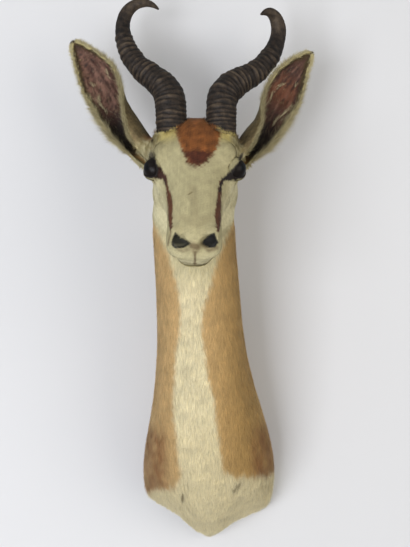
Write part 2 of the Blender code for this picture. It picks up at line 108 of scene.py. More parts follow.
def ease(values: np.ndarray, start: float, end: float) -> np.ndarray:
    """A smooth step from 0 at start to 1 at end.

    Args:
        values: where to read it.
        start: where it leaves 0.
        end: where it reaches 1. It may be below start.

    Returns:
        Shares from 0 to 1.
    """
    share = np.clip((values - start) / (end - start), 0.0, 1.0)
    return share * share * (3 - 2 * share)


def blend(a: np.ndarray, b: np.ndarray, share: np.ndarray) -> np.ndarray:
    """Rows of a where share is 0, turning into rows of b where it is 1."""
    return a + (b - a) * share[:, None]


def plain(colour: str, count: int) -> np.ndarray:
    """Rows of one sRGB hex colour, in linear light."""
    return np.tile(linear(colour), (count, 1))


def tinted(colours: np.ndarray, colour: str, share: np.ndarray) -> np.ndarray:
    """Rows of linear colours that turn into one sRGB hex colour where the share is 1."""
    return blend(colours, linear(colour)[None], share)


def ripple(points: np.ndarray, size: float, seed: int) -> np.ndarray:
    """Smooth uneven waves through space.

    Args:
        points: places in metres, one a row.
        size: about how far apart the waves' crests lie, in metres.
        seed: which pattern.

    Returns:
        Heights, mostly between -1 and 1.
    """
    rng = np.random.default_rng(seed)
    total = np.zeros(len(points))
    for _ in range(7):
        way = unit(rng.normal(size=3)) * math.tau / size * rng.uniform(0.6, 1.7)
        total += np.sin(points @ way + rng.uniform(0, math.tau))
    return total / 2.6


def curve(wanted: np.ndarray, known: np.ndarray, values: np.ndarray) -> np.ndarray:
    """A smooth curve through values known at rising places.

    Args:
        wanted: where to read it.
        known: the rising places.
        values: what is known there, one row a place.

    Returns:
        One row a wanted place.
    """
    slopes = np.gradient(values, known, axis=0)
    wanted = np.clip(wanted, known[0], known[-1])
    left = np.clip(np.searchsorted(known, wanted, side="right") - 1, 0, len(known) - 2)
    width = (known[left + 1] - known[left])[:, None]
    t = (wanted - known[left])[:, None] / width
    from_left = (1 + 2 * t) * (1 - t) ** 2 * values[left] + t * (1 - t) ** 2 * width * slopes[left]
    from_right = t * t * (3 - 2 * t) * values[left + 1] - t * t * (1 - t) * width * slopes[left + 1]
    return from_left + from_right


@dataclass(frozen=True)
class HeadAxes:
    """The head's own directions: along the face from the brow, across it and above it."""

    brow: tuple[float, float, float] = (-0.0185, -0.180, 0.4015)
    tilt: float = math.radians(40.0)

    @property
    def down_face(self) -> np.ndarray:
        """The way from the brow to the nose."""
        return np.array((0.0, -math.sin(self.tilt), -math.cos(self.tilt)))

    @property
    def off_face(self) -> np.ndarray:
        """The way straight off the face."""
        return np.array((0.0, -math.cos(self.tilt), math.sin(self.tilt)))

    def place(self, along: float, across: float, above: float) -> np.ndarray:
        """A place on the head in the mount's own axes."""
        return np.array(self.brow) + self.down_face * along + self.off_face * above + (across, 0, 0)

    def read(self, points: np.ndarray) -> tuple[np.ndarray, np.ndarray, np.ndarray]:
        """Along, across and above of each point."""
        away = points - self.brow
        return away @ self.down_face, away[:, 0], away @ self.off_face


@dataclass(frozen=True)
class Sheet:
    """An upright sheet on which the coat's markings are laid out, in mm, as seen from in front."""

    seen_from: tuple[float, float, float] = (-5.8, -1425.0, 214.0)
    stands_at: float = -190.0

    def flatten(self, points: np.ndarray) -> np.ndarray:
        """Where points of the mount show on the sheet.

        Args:
            points: places in metres.

        Returns:
            Across and height in mm, one row a point.
        """
        eye = np.array(self.seen_from)
        away = points / MM - eye
        scale = (self.stands_at - eye[1]) / away[:, 1]
        return np.stack([eye[0] + away[:, 0] * scale, eye[2] + away[:, 2] * scale], axis=1)


def inside_by(places: np.ndarray, outline: Outline) -> np.ndarray:
    """How far places lie inside a closed outline, in its own unit. Outside it is negative.

    Args:
        places: where to measure, one a row.
        outline: its corners in order.

    Returns:
        One distance a place.
    """
    corners = np.array(outline, float)
    nearest = np.full(len(places), 1e9)
    crossings = np.zeros(len(places), int)
    for start, end in zip(corners, np.roll(corners, -1, axis=0)):
        edge = end - start
        away = places - start
        share = np.clip(away @ edge / (edge @ edge), 0.0, 1.0)
        nearest = np.minimum(nearest, np.linalg.norm(away - share[:, None] * edge, axis=1))
        spans = (start[1] <= places[:, 1]) != (end[1] <= places[:, 1])
        rise = edge[1] if edge[1] else 1e-9
        at = start[0] + (places[:, 1] - start[1]) / rise * edge[0]
        crossings += spans & (places[:, 0] < at)
    return np.where(crossings % 2 == 1, nearest, -nearest)


# Meshes and objects


def mesh_object(
    name: str, points: np.ndarray, faces: np.ndarray, normals: np.ndarray | None = None
) -> bpy.types.Object:
    """Makes an object from arrays.

    Args:
        name: its name.
        points: one row a vertex, in metres.
        faces: vertex numbers, one row a face, all with the same number of corners.
        normals: how each vertex is lit, if not by its faces.

    Returns:
        The new object, linked to the scene.
    """
    mesh = bpy.data.meshes.new(name)
    corners = faces.shape[1]
    mesh.vertices.add(len(points))
    mesh.vertices.foreach_set("co", points.astype(np.float32).ravel())
    mesh.loops.add(faces.size)
    mesh.loops.foreach_set("vertex_index", faces.astype(np.int32).ravel())
    mesh.polygons.add(len(faces))
    mesh.polygons.foreach_set("loop_start", np.arange(0, faces.size, corners, dtype=np.int32))
    mesh.polygons.foreach_set("loop_total", np.full(len(faces), corners, dtype=np.int32))
    mesh.update(calc_edges=True)
    mesh.polygons.foreach_set("use_smooth", np.ones(len(faces), dtype=bool))
    if normals is not None:
        mesh.normals_split_custom_set_from_vertices(normals.astype(np.float32))
    made = bpy.data.objects.new(name, mesh)
    bpy.context.scene.collection.objects.link(made)
    return made


def paint(thing: bpy.types.Object, name: str, colours: np.ndarray) -> None:
    """Keeps a linear colour on each vertex.

    Args:
        thing: the object.
        name: the attribute's name.
        colours: red, green and blue, one row a vertex.
    """
    layer = thing.data.attributes.new(name, "FLOAT_COLOR", "POINT")
    full = np.ones((len(colours), 4), np.float32)
    full[:, :3] = np.clip(colours, 0.0, 1.0)
    layer.data.foreach_set("color", full.ravel())


def mark(thing: bpy.types.Object, name: str, values: np.ndarray) -> None:
    """Keeps a number on each vertex."""
    thing.data.attributes.new(name, "FLOAT", "POINT").data.foreach_set("value", values.astype(np.float32))


def vertices_of(mesh: bpy.types.Mesh) -> np.ndarray:
    """The mesh's vertices, one row each.

    Args:
        mesh: the mesh.

    Returns:
        Places in metres.
    """
    found = np.empty(len(mesh.vertices) * 3, np.float32)
    mesh.vertices.foreach_get("co", found)
    return found.reshape(-1, 3).astype(float)


def normals_of(mesh: bpy.types.Mesh) -> np.ndarray:
    """The mesh's vertex normals, one row each.

    Args:
        mesh: the mesh.

    Returns:
        Directions with a length of one.
    """
    found = np.empty(len(mesh.vertices) * 3, np.float32)
    mesh.vertex_normals.foreach_get("vector", found)
    return found.reshape(-1, 3).astype(float)


def triangles_of(mesh: bpy.types.Mesh) -> np.ndarray:
    """The mesh's faces as triangles of vertex numbers.

    Args:
        mesh: the mesh.

    Returns:
        Vertex numbers, one row a triangle.
    """
    mesh.calc_loop_triangles()
    found = np.empty(len(mesh.loop_triangles) * 3, np.int32)
    mesh.loop_triangles.foreach_get("vertices", found)
    return found.reshape(-1, 3)


def turned_out(points: np.ndarray, triangles: np.ndarray) -> np.ndarray:
    """A closed shape's triangles, turned over if they face inwards.

    Args:
        points: the vertices, one a row.
        triangles: their triangles.

    Returns:
        Vertex numbers, one row a triangle.
    """
    a, b, c = (points[triangles[:, i]] for i in range(3))
    volume = dot(a, np.cross(b, c)).sum()
    return triangles if volume > 0 else triangles[:, ::-1]


def grid_faces(rows: int, columns: int) -> np.ndarray:
    """Four-cornered faces between the vertices of a grid whose rows run back to their own start.

    Args:
        rows: rows of vertices.
        columns: vertices in a row.

    Returns:
        Vertex numbers, one row a face.
    """
    row, column = np.meshgrid(np.arange(rows - 1) * columns, np.arange(columns), indexing="ij")
    after = (column + 1) % columns
    corners = [row + column, row + after, row + columns + after, row + columns + column]
    return np.stack(corners, -1).reshape(-1, 4)


def neighbours(triangles: np.ndarray) -> np.ndarray:
    """Pairs of vertices that share an edge of a closed mesh, each pair from both ends."""
    return np.concatenate([triangles[:, [0, 1]], triangles[:, [1, 2]], triangles[:, [2, 0]]])


def to_middle(points: np.ndarray, pairs: np.ndarray) -> np.ndarray:
    """The way from each point to the middle of its neighbours.

    Args:
        points: one row a vertex.
        pairs: each vertex's number beside a neighbour's.

    Returns:
        One row a vertex.
    """
    own, other = pairs[:, 0], pairs[:, 1]
    count = np.maximum(np.bincount(own, minlength=len(points)), 1)[:, None]
    total = np.stack([np.bincount(own, points[other, axis], len(points)) for axis in range(3)], 1)
    return total / count - points


def facing_out(points: np.ndarray, triangles: np.ndarray) -> np.ndarray:
    """Each vertex's normal, from the triangles round it.

    Args:
        points: the vertices, one a row.
        triangles: their triangles.

    Returns:
        One direction a vertex.
    """
    a, b, c = (points[triangles[:, i]] for i in range(3))
    faces = np.cross(b - a, c - a)
    sums = [
        sum(np.bincount(triangles[:, i], faces[:, axis], len(points)) for i in range(3)) for axis in range(3)
    ]
    return unit(np.stack(sums, 1))


def dress(thing: bpy.types.Object, material: bpy.types.Material, slot: Slot, *stands_for: str) -> None:
    """Gives a new piece its material and its place on the mount.

    Args:
        thing: the piece.
        material: what it is made of.
        slot: not used.
        stands_for: the solids that it is shown in place of.
    """
    thing.data.materials.clear()
    thing.data.materials.append(material)
    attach(thing, ROOT)
    if stands_for:
        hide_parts(*stands_for)
    LOG.info("%s: %d faces", thing.name, len(thing.data.polygons))


# Finishes


def add_node(
    tree: bpy.types.NodeTree,
    kind: str,
    settings: dict[str | int, object] | None = None,
    links: dict[str | int, bpy.types.NodeSocket] | None = None,
) -> bpy.types.Node:
    """Adds a node with its settings and links.

    Args:
        tree: where it goes.
        kind: Blender's name for the node.
        settings: values by input name or number, or by the node's own property.
        links: sources by input name or number.

    Returns:
        The new node.
    """
    made = tree.nodes.new(kind)
    for name, value in (settings or {}).items():
        if isinstance(name, int) or name in made.inputs:
            made.inputs[name].default_value = value
        else:
            setattr(made, name, value)
    for name, source in (links or {}).items():
        tree.links.new(source, made.inputs[name])
    return made


def empty_material(name: str) -> tuple[bpy.types.Material, bpy.types.NodeTree]:
    """A material with no nodes in it yet.

    Args:
        name: its name.

    Returns:
        The material and its node tree.
    """
    made = bpy.data.materials.new(name)
    made.use_nodes = True
    made.node_tree.nodes.clear()
    return made, made.node_tree


def mottled(
    tree: bpy.types.NodeTree, colour: bpy.types.NodeSocket, noise: bpy.types.Node, low: float, high: float
) -> bpy.types.NodeSocket:
    """Darkens and lightens a colour by a noise.

    Args:
        tree: the material's nodes.
        colour: what is changed.
        noise: the noise that changes it.
        low: the colour's share where the noise is low.
        high: its share where the noise is high.

    Returns:
        The changed colour.
    """
    level = add_node(
        tree, "ShaderNodeMapRange", {"From Min": 0.3, "From Max": 0.7, "To Min": low, "To Max": high},
        {"Value": noise.outputs["Fac"]},
    )
    scaled = add_node(
        tree, "ShaderNodeVectorMath", {"operation": "SCALE"}, {0: colour, "Scale": level.outputs["Result"]}
    )
    return scaled.outputs["Vector"]


def close(tree: bpy.types.NodeTree, shader: bpy.types.Node) -> None:
    """Sends a shader to the material's output."""
    add_node(tree, "ShaderNodeOutputMaterial", links={"Surface": shader.outputs[0]})


@dataclass(frozen=True)
class GuardHair:
    """Springbok guard hair: sleek, dry keratin, combed flat by the finisher."""

    roughness: float = 0.62
    ior: float = 1.55
    mottle: float = 11 * MM  # how far the coat's faint patches lie apart
    sheen: float = 0.30  # hair seen edge on stays light, because light passes between the hairs
    glow: str = "#EADDB8"

    def material(self) -> bpy.types.Material:
        """The coat's colour by the hair, with a faint mottle over it.

        Returns:
            The material.
        """
        made, tree = empty_material("springbok_guard_hair")
        colour = add_node(tree, "ShaderNodeAttribute", {"attribute_name": COAT_COLOUR})
        place = add_node(tree, "ShaderNodeTexCoord")
        # Old mounts are never quite clean: broad patches a little darker than the rest.
        dust = add_node(
            tree, "ShaderNodeTexNoise", {"Scale": 1 / self.mottle, "Detail": 3.0, "Roughness": 0.6},
            {"Vector": place.outputs["Object"]},
        )
        mottle_and_nostril_light = mottled(tree, colour.outputs["Color"], dust, 0.90, 1.06)
        shader = add_node(
            tree, "ShaderNodeBsdfPrincipled",
            {
                "Roughness": self.roughness, "IOR": self.ior, "Specular IOR Level": 0.22,
                "Sheen Weight": self.sheen, "Sheen Roughness": 0.5, "Sheen Tint": (*linear(self.glow), 1),
            },
            {"Base Color": mottle_and_nostril_light},
        )
        close(tree, shader)
        return made


@dataclass(frozen=True)
class TannedHide:
    """Tanned skin under the hair, dried over its form: matt, with fine pores."""

    roughness: float = 0.75
    pore: float = 0.9 * MM

    def material(self) -> bpy.types.Material:
        """The skin's colour, with pores that break its surface.

        Returns:
            The material.
        """
        made, tree = empty_material("tanned_hide")
        colour = add_node(tree, "ShaderNodeAttribute", {"attribute_name": COAT_COLOUR})
        place = add_node(tree, "ShaderNodeTexCoord")
        pores = add_node(
            tree, "ShaderNodeTexNoise", {"Scale": 1 / self.pore, "Detail": 2.0},
            {"Vector": place.outputs["Object"]},
        )
        bump = add_node(
            tree, "ShaderNodeBump", {"Strength": 0.35, "Distance": 0.4 * MM}, {"Height": pores.outputs["Fac"]}
        )
        mottle_and_nostril_light = mottled(tree, colour.outputs["Color"], pores, 0.85, 1.1)
        shader = add_node(
            tree, "ShaderNodeBsdfPrincipled",
            {"Roughness": self.roughness, "IOR": 1.5, "Specular IOR Level": 0.3},
            {"Base Color": mottle_and_nostril_light, "Normal": bump.outputs["Normal"]},
        )
        close(tree, shader)
        return made


@dataclass(frozen=True)
class HornKeratin:
    """Horn sheath, grown in rings: darkest in the grooves as painted shade, lighter on the crests from
    rubbing and a painted highlight.
    """

    groove: str = "#120D0A"
    body: str = "#2D241C"
    crest: str = "#4B3F31"
    roughness: float = 0.62
    fibre: float = 2.2 * MM  # growth fibres, drawn coarser than the real 0.3 mm so that they show

    def material(self) -> bpy.types.Material:
        """Colour by the ring's height, broken up by the fibres that run up the horn.

        Returns:
            The material.
        """
        made, tree = empty_material("horn_keratin")
        ridge = add_node(tree, "ShaderNodeAttribute", {"attribute_name": RIDGE})
        place = add_node(tree, "ShaderNodeTexCoord")
        fibres = add_node(
            tree, "ShaderNodeTexNoise", {"Scale": 1 / self.fibre, "Detail": 3.0, "Roughness": 0.65},
            {"Vector": place.outputs["Object"]},
        )
        lifted = add_node(
            tree, "ShaderNodeMath", {"operation": "MULTIPLY_ADD", 1: 1.0, 2: -0.5}, {0: fibres.outputs["Fac"]}
        )
        height = add_node(
            tree, "ShaderNodeMath", {"operation": "ADD"}, {0: ridge.outputs["Fac"], 1: lifted.outputs[0]}
        )
        # Painted shade in the grooves; rubbing and a painted highlight on the crests.
        ramp = add_node(tree, "ShaderNodeValToRGB", links={"Fac": height.outputs[0]})
        ramp.color_ramp.elements[0].position = 0.05
        ramp.color_ramp.elements[0].color = (*linear(self.groove), 1)
        ramp.color_ramp.elements[1].position = 1.0
        ramp.color_ramp.elements[1].color = (*linear(self.crest), 1)
        middle = ramp.color_ramp.elements.new(0.5)
        middle.color = (*linear(self.body), 1)
        bump = add_node(
            tree, "ShaderNodeBump", {"Strength": 0.5, "Distance": 0.4 * MM}, {"Height": fibres.outputs["Fac"]}
        )
        shader = add_node(
            tree, "ShaderNodeBsdfPrincipled",
            {"Roughness": self.roughness, "IOR": 1.55, "Specular IOR Level": 0.22},
            {"Base Color": ramp.outputs["Color"], "Normal": bump.outputs["Normal"]},
        )
        close(tree, shader)
        return made


@dataclass(frozen=True)
class EyeGlass:
    """A taxidermist's glass eye: painted behind, cast and fire polished in front."""

    iris: str = "#120D0B"
    pupil: str = "#06070B"

    def material(self) -> bpy.types.Material:
        """Nearly black, with faint spokes and a soft shine, as of old glass under dust.

        Returns:
            The material.
        """
        made, tree = empty_material("taxidermy_eye_glass")
        colour = add_node(tree, "ShaderNodeAttribute", {"attribute_name": COAT_COLOUR})
        place = add_node(tree, "ShaderNodeTexCoord")
        # Fine spokes of the painted iris.
        spokes = add_node(
            tree, "ShaderNodeTexNoise", {"Scale": 1 / (1.2 * MM), "Detail": 2.0},
            {"Vector": place.outputs["Object"]},
        )
        painted = mottled(tree, colour.outputs["Color"], spokes, 0.8, 1.15)
        shader = add_node(
            tree, "ShaderNodeBsdfPrincipled",
            {"Roughness": 0.34, "IOR": 1.45, "Specular IOR Level": 0.14},
            {"Base Color": painted},
        )
        close(tree, shader)
        return made


@dataclass(frozen=True)
class PlanedPine:
    """Planed pine board, unfinished: straight growth rings along the board, a few mm apart."""

    early_wood: str = "#C9A26B"
    late_wood: str = "#9A6B38"
    ring: float = 6 * MM

    def material(self) -> bpy.types.Material:
        """Growth rings that wander a little, and a faint sawn grain across them.

        Returns:
            The material.
        """
        made, tree = empty_material("planed_pine")
        place = add_node(tree, "ShaderNodeTexCoord")
        stretched = add_node(
            tree, "ShaderNodeMapping", {"Scale": (1.0, 1.0, 0.12)}, {"Vector": place.outputs["Object"]}
        )
        rings = add_node(
            tree, "ShaderNodeTexWave",
            {"Scale": 1 / (self.ring * 6), "Distortion": 5.0, "Detail": 3.0, "Detail Scale": 1.5},
            {"Vector": stretched.outputs["Vector"]},
        )
        grain = add_node(
            tree, "ShaderNodeTexNoise", {"Scale": 1 / (1.2 * MM), "Detail": 3.0},
            {"Vector": stretched.outputs["Vector"]},
        )
        colour = add_node(
            tree, "ShaderNodeMix", {"data_type": "RGBA"},
            {"Factor": rings.outputs["Fac"]},
        )
        colour.inputs[6].default_value = (*linear(self.early_wood), 1)
        colour.inputs[7].default_value = (*linear(self.late_wood), 1)
        mottle_and_nostril_light = mottled(tree, colour.outputs[2], grain, 0.86, 1.08)
        bump = add_node(
            tree, "ShaderNodeBump", {"Strength": 0.3, "Distance": 0.3 * MM}, {"Height": grain.outputs["Fac"]}
        )
        shader = add_node(
            tree, "ShaderNodeBsdfPrincipled", {"Roughness": 0.68, "IOR": 1.5},
            {"Base Color": mottle_and_nostril_light, "Normal": bump.outputs["Normal"]},
        )
        close(tree, shader)
        return made


# Ears as lines, widths and openings, so that any place on one can be named


LEFT_EAR: Rows = (
    (-0.060, -0.137, 0.352, 0.0160, 0.0165, 14, 34),
    (-0.073, -0.137, 0.363, 0.0165, 0.0165, 14, 34),
    (-0.085, -0.135, 0.374, 0.0175, 0.0170, 18, 34),
    (-0.098, -0.132, 0.388, 0.0190, 0.0180, 28, 34),
    (-0.109, -0.130, 0.402, 0.0205, 0.0185, 44, 32),
    (-0.119, -0.128, 0.416, 0.0210, 0.0185, 56, 24),
    (-0.128, -0.126, 0.430, 0.0215, 0.0180, 69, 14),
    (-0.135, -0.123, 0.445, 0.0230, 0.0170, 81, 6),
    (-0.143, -0.119, 0.462, 0.0255, 0.0155, 88, 0),
    (-0.150, -0.116, 0.478, 0.0255, 0.0135, 88, 0),
    (-0.160, -0.113, 0.493, 0.0200, 0.0110, 88, 0),
    (-0.171, -0.110, 0.508, 0.0135, 0.0080, 88, 0),
    (-0.179, -0.108, 0.519, 0.0070, 0.0055, 88, 0),
    (-0.183, -0.107, 0.525, 0.0025, 0.0030, 88, 0),
)
RIGHT_EAR: Rows = (
    (0.015, -0.137, 0.343, 0.0140, 0.0160, 14, 34),
    (0.027, -0.137, 0.353, 0.0145, 0.0165, 14, 34),
    (0.038, -0.135, 0.364, 0.0150, 0.0170, 18, 34),
    (0.051, -0.132, 0.378, 0.0165, 0.0180, 30, 34),
    (0.063, -0.130, 0.391, 0.0185, 0.0185, 46, 32),
    (0.074, -0.128, 0.404, 0.0180, 0.0185, 58, 24),
    (0.083, -0.126, 0.418, 0.0200, 0.0180, 71, 14),
    (0.090, -0.123, 0.434, 0.0230, 0.0170, 83, 6),
    (0.098, -0.119, 0.450, 0.0240, 0.0155, 88, 0),
    (0.1045, -0.116, 0.466, 0.0225, 0.0135, 88, 0),
    (0.1125, -0.113, 0.480, 0.0185, 0.0110, 88, 0),
    (0.1220, -0.110, 0.493, 0.0130, 0.0080, 88, 0),
    (0.132, -0.108, 0.504, 0.0065, 0.0055, 88, 0),
    (0.138, -0.107, 0.510, 0.0025, 0.0030, 88, 0),
)


@dataclass(frozen=True)
class EarPlaces:
    """Where points lie on an ear."""

    near: np.ndarray  # 1 on the ear, 0 well away from it
    along: np.ndarray  # 0 at the head, 1 at the tip
    turn: np.ndarray  # angle round the ear's line from the front, positive away from the head's middle
    inside: np.ndarray  # 1 in the cup
    to_rim: np.ndarray  # metres round the ear from the nearer rim
    ahead: np.ndarray  # towards the tip
    outwards: np.ndarray  # away from the ear's line


def nearer(places: tuple[EarPlaces, EarPlaces]) -> EarPlaces:
    """Each point's place on the ear that it is nearer to.

    Args:
        places: where the points lie on the two ears.

    Returns:
        One place a point.
    """
    first = places[0].near > places[1].near
    chosen = {}
    for item in fields(EarPlaces):
        a, b = (getattr(place, item.name) for place in places)
        chosen[item.name] = np.where(first if a.ndim == 1 else first[:, None], a, b)
    return EarPlaces(**chosen)


@dataclass(frozen=True)
class EarLine:
    """One ear's line, with its width, depth and opening along it."""

    side: Side
    rows: Rows
    reach: float = 0.036

    def stations(self, count: int = 79) -> tuple[np.ndarray, np.ndarray, np.ndarray, np.ndarray]:
        """The ear's rows with more between them, and its three directions at each.

        Args:
            count: how many rows to make.

        Returns:
            The rows, then the ways to the tip, to the front and away from the head's middle.
        """
        rows = np.array(self.rows)
        index = np.arange(len(rows))
        wanted = np.linspace(0, len(rows) - 1, count)
        fine = np.stack([np.interp(wanted, index, column) for column in rows.T], axis=1)
        ahead = unit(np.gradient(fine[:, :3], axis=0))
        facing = np.array((0.22 * self.side.value, -1.0, 0.0))
        forwards = unit(facing - ahead * (ahead @ facing)[:, None])
        aside = np.cross(ahead, forwards) * self.side.value
        return fine, ahead, forwards, aside

    def read(self, points: np.ndarray) -> EarPlaces:
        """Where points lie on this ear.

        Args:
            points: places in metres.

        Returns:
            Their places on the ear.
        """
        fine, ahead, forwards, aside = self.stations()
        nearest = np.zeros(len(points), int)
        low, high = fine[:, :3].min(0) - self.reach, fine[:, :3].max(0) + self.reach
        close_by = np.flatnonzero(((points > low) & (points < high)).all(1))
        for part in np.array_split(close_by, len(close_by) // 20000 + 1):
            gaps = ((points[part][:, None, :] - fine[None, :, :3]) ** 2).sum(-1)
            nearest[part] = gaps.argmin(1)
        row = fine[nearest]
        away = points - row[:, :3]
        front = dot(away, forwards[nearest])
        sideways = dot(away, aside[nearest])
        turn = np.arctan2(sideways / row[:, 3], front / row[:, 4])
        share = np.hypot(sideways / row[:, 3], front / row[:, 4])
        opening, turned = np.radians(row[:, 5]), np.radians(row[:, 6])
        from_front = (turn - turned) % math.tau
        to_rim = np.minimum(np.abs(from_front - opening), np.abs(math.tau - opening - from_front))
        gap = np.linalg.norm(away, axis=1)
        return EarPlaces(
            near=ease(gap, self.reach, self.reach * 0.8) * ease(nearest / (len(fine) - 1), 0.14, 0.22),
            along=nearest / (len(fine) - 1),
            turn=turn,
            inside=ease(share, 1.02, 0.96),
            to_rim=to_rim * row[:, 3],
            ahead=ahead[nearest],
            outwards=unit(away - ahead[nearest] * dot(away, ahead[nearest])[:, None]),
        )


# The coat's markings


@dataclass(frozen=True)
class Marking:
    """A patch of one colour on the front of the mount, outlined on the sheet in mm."""

    name: str
    colour: str
    outline: Outline
    soft: float = 2.5
    ragged: float = 1.5
    on_face: bool = True
    behind: float = -0.145  # the Y at which it ends towards the wall


@dataclass(frozen=True)
class Stroke:
    """A soft brown line on the muzzle, drawn on the sheet in mm."""

    path: Outline
    reach: float
    strength: float

    def share(self, flat: np.ndarray) -> np.ndarray:
        """How strongly each place on the sheet is tinted.

        Args:
            flat: places on the sheet in mm, one a row.

        Returns:
            Shares from 0 to the line's strength.
        """
        nearest = np.full(len(flat), 1e9)
        for start, end in zip(self.path, self.path[1:]):
            edge = np.subtract(end, start)
            along = np.clip((flat - start) @ edge / (edge @ edge), 0.0, 1.0)
            nearest = np.minimum(nearest, np.linalg.norm(flat - start - along[:, None] * edge, axis=1))
        return self.strength * ease(nearest, self.reach, self.reach * 0.2)


MARKINGS = (
    Marking(
        "forehead_patch", "#7C4920",
        ((-46, 412), (-42.5, 391.5), (-38, 377), (-32.5, 366), (-30, 359), (-26.5, 352), (-19.5, 349.5),
         (-13.5, 349.5), (-6.5, 352), (-0.5, 359), (6.5, 366), (11.5, 377), (14.5, 391.5), (19, 412)),
        5.0, 1.6,
    ),
    Marking(
        "patch_tip", "#4A2312",
        ((-33.5, 367), (-30, 359), (-26.5, 351.5), (-17, 348), (-6.5, 351.5), (0, 359), (4, 365.5), (-6, 368),
         (-17, 369.5), (-26, 368)),
        9.0, 2.0,
    ),
    Marking(
        "left_tear_stripe", "#56311A",
        ((-57, 337.5), (-54, 337), (-51.5, 321), (-47.5, 312.5), (-46.5, 300), (-46.5, 286), (-47, 272.5),
         (-48.5, 265), (-51, 272.5), (-52, 286), (-53, 300), (-54, 312.5), (-55, 322.5), (-57, 330)),
        1.6, 0.7,
    ),
    Marking(
        "right_tear_stripe", "#55321E",
        ((17.5, 333.5), (15.5, 321), (15, 312.5), (14.5, 300), (14.5, 286), (13.5, 272.5), (11, 265),
         (8, 272.5), (6.5, 286), (8, 300), (10, 312.5), (10.5, 321), (13, 330), (15, 333.5)),
        1.6, 0.7,
    ),
    Marking(
        "left_eye_corner", "#3A2018",
        ((-66, 350), (-61, 347.5), (-54, 335.5), (-54, 325), (-56, 324), (-58.5, 332), (-72.5, 333.5)),
        1.8, 0.6, behind=-0.186,
    ),
    Marking(
        "right_eye_corner", "#1C1412",
        ((40, 356.5), (27, 344), (14, 331), (11, 316), (14, 316), (17, 329.5), (34, 330.5), (41.5, 349)),
        1.8, 0.6, behind=-0.186,
    ),
    Marking(
        "left_eye_rim", "#17120F",
        ((-82, 351), (-76.5, 357), (-69, 357.5), (-65.5, 350), (-64, 343), (-66, 335), (-75, 333.5),
         (-81.5, 339)),
        1.6, 0.5, behind=-0.180,
    ),
    Marking("brow_spot", "#4A3A26", ((-74.5, 381), (-71.5, 383), (-70.5, 380), (-73, 378.5)), 1.2, 0.2),
    Marking("cheek_speck", "#3A352A", ((-66.5, 309.5), (-65.5, 309), (-62.8, 314), (-63.8, 314.6)), 0.9, 0.2),
    Marking(
        "bib_slash", "#6A5838", ((28.3, -61.5), (30.3, -63.5), (40.3, -50.9), (38.3, -48.9)), 1.4, 0.5,
        on_face=False,
    ),
    Marking(
        "bib_blot", "#665434", ((-36.5, -66), (-32, -65), (-31, -71), (-34.5, -74)), 2.0, 0.6, on_face=False,
    ),
    Marking("nose_speck", "#6A5B38", ((-27.5, 313), (-27, 311.8), (-22, 315.5), (-22.6, 316.6)), 0.9, 0.2),
)
STROKES = (
    Stroke(((-25.5, 252.5), (-21.5, 245.5), (-18.5, 238)), 3.8, 0.55),
    Stroke(((-9.5, 252.5), (-14.5, 245.5), (-18.5, 238)), 3.8, 0.55),
    Stroke(((-21.5, 248.5), (-15.5, 247)), 7.5, 0.8),
    Stroke(((-18.5, 241), (-18.6, 226)), 2.3, 0.9),
    Stroke(((-20.4, 226.3), (-16.8, 226.3)), 1.6, 0.85),
    # Painted shade, the next four: under the right nostril, under the left nostril, in the mouth's crease and
    # down the muzzle's left side.
    Stroke(((-7, 248.5), (-1.2, 242.5), (9, 246)), 4.2, 0.6),
    Stroke(((-39.7, 244.7), (-33.4, 242), (-27.1, 244)), 3.6, 0.4),
    Stroke(((-37.5, 228.8), (-30, 227), (-11.6, 224.2), (1.1, 225.3)), 1.9, 0.35),
    Stroke(((-48.9, 264), (-51.3, 255.8), (-52.4, 249)), 1.4, 0.7),
    Stroke(((-21.5, 321), (-19, 300), (-18.3, 284)), 9.0, 0.22),
    Stroke(((-33, 284), (-20, 275), (-5, 282)), 9.0, 0.18),
)
EAR_LOCKS = (
    Stroke(((-129.5, 468.3), (-125.9, 461.3), (-123.1, 456.5)), 1.7, 1.0),
    Stroke(((-149.6, 453.0), (-141.3, 445.8)), 2.0, 0.8),
    Stroke(((-139.0, 434.0), (-134.2, 422.2), (-128.3, 412.7)), 1.8, 1.0),
    Stroke(((-148.7, 434.0), (-137.4, 426.5)), 2.6, 0.55),
    Stroke(((-147.2, 490.7), (-141.3, 483.7)), 1.8, 0.6),
    Stroke(((93.6, 451.0), (84.1, 447.5), (77.4, 433.3), (72.3, 426.2)), 1.7, 1.0),
    Stroke(((107.8, 449.8), (106.5, 445.1)), 1.6, 0.8),
    Stroke(((103.0, 421.5), (93.6, 414.4), (84.1, 407.2), (78.2, 397.8)), 1.8, 1.0),
    Stroke(((100.8, 409.6), (86.5, 402.7)), 1.7, 0.7),
)
LEFT_NOSTRIL: Outline = (
    (-43, 266), (-39.5, 261.5), (-35.5, 259), (-29.5, 256.3), (-24, 251.5), (-27.5, 249), (-33.5, 246),
    (-43, 245.5), (-47.5, 249), (-47.5, 254.5), (-45.5, 260),
)
RIGHT_NOSTRIL: Outline = (
    (6, 265.5), (-2.5, 261), (-8, 255.5), (-10.5, 251.5), (-7, 249), (1, 246), (7, 247.5), (11, 253),
    (8.5, 257.5),
)
# Height on the mount, then the throat stripe's left and right edge there, in mm.
THROAT_STRIPE: Rows = (
    (-66, -42.5, 21.0), (-51, -37.5, 19.0), (-25, -41.0, 15.0), (2, -43.0, 11.5), (27, -46.5, 8.0),
    (50, -47.5, 6.5), (80, -45.0, -2.0), (110, -43.5, -5.0), (139, -38.0, -10.5), (168, -37.0, -8.0),
    (199, -41.0, 2.5), (216, -46.5, 6.0), (237, -53.0, 14.0), (252, -60.5, 20.5), (266, -66.5, 25.5),
    (281, -70.0, 30.5), (301, -77.0, 38.0), (320, -95.0, 55.0),
)
# Across, then the height below which the bib is white there, in mm.
BIB_TOP: Rows = (
    (-110, -104), (-88.5, -99), (-71, -82), (-48, -75), (-41, -62), (-10, -50), (19, -45), (34.5, -55),
    (54, -58), (83, -65.5), (110, -72),
)


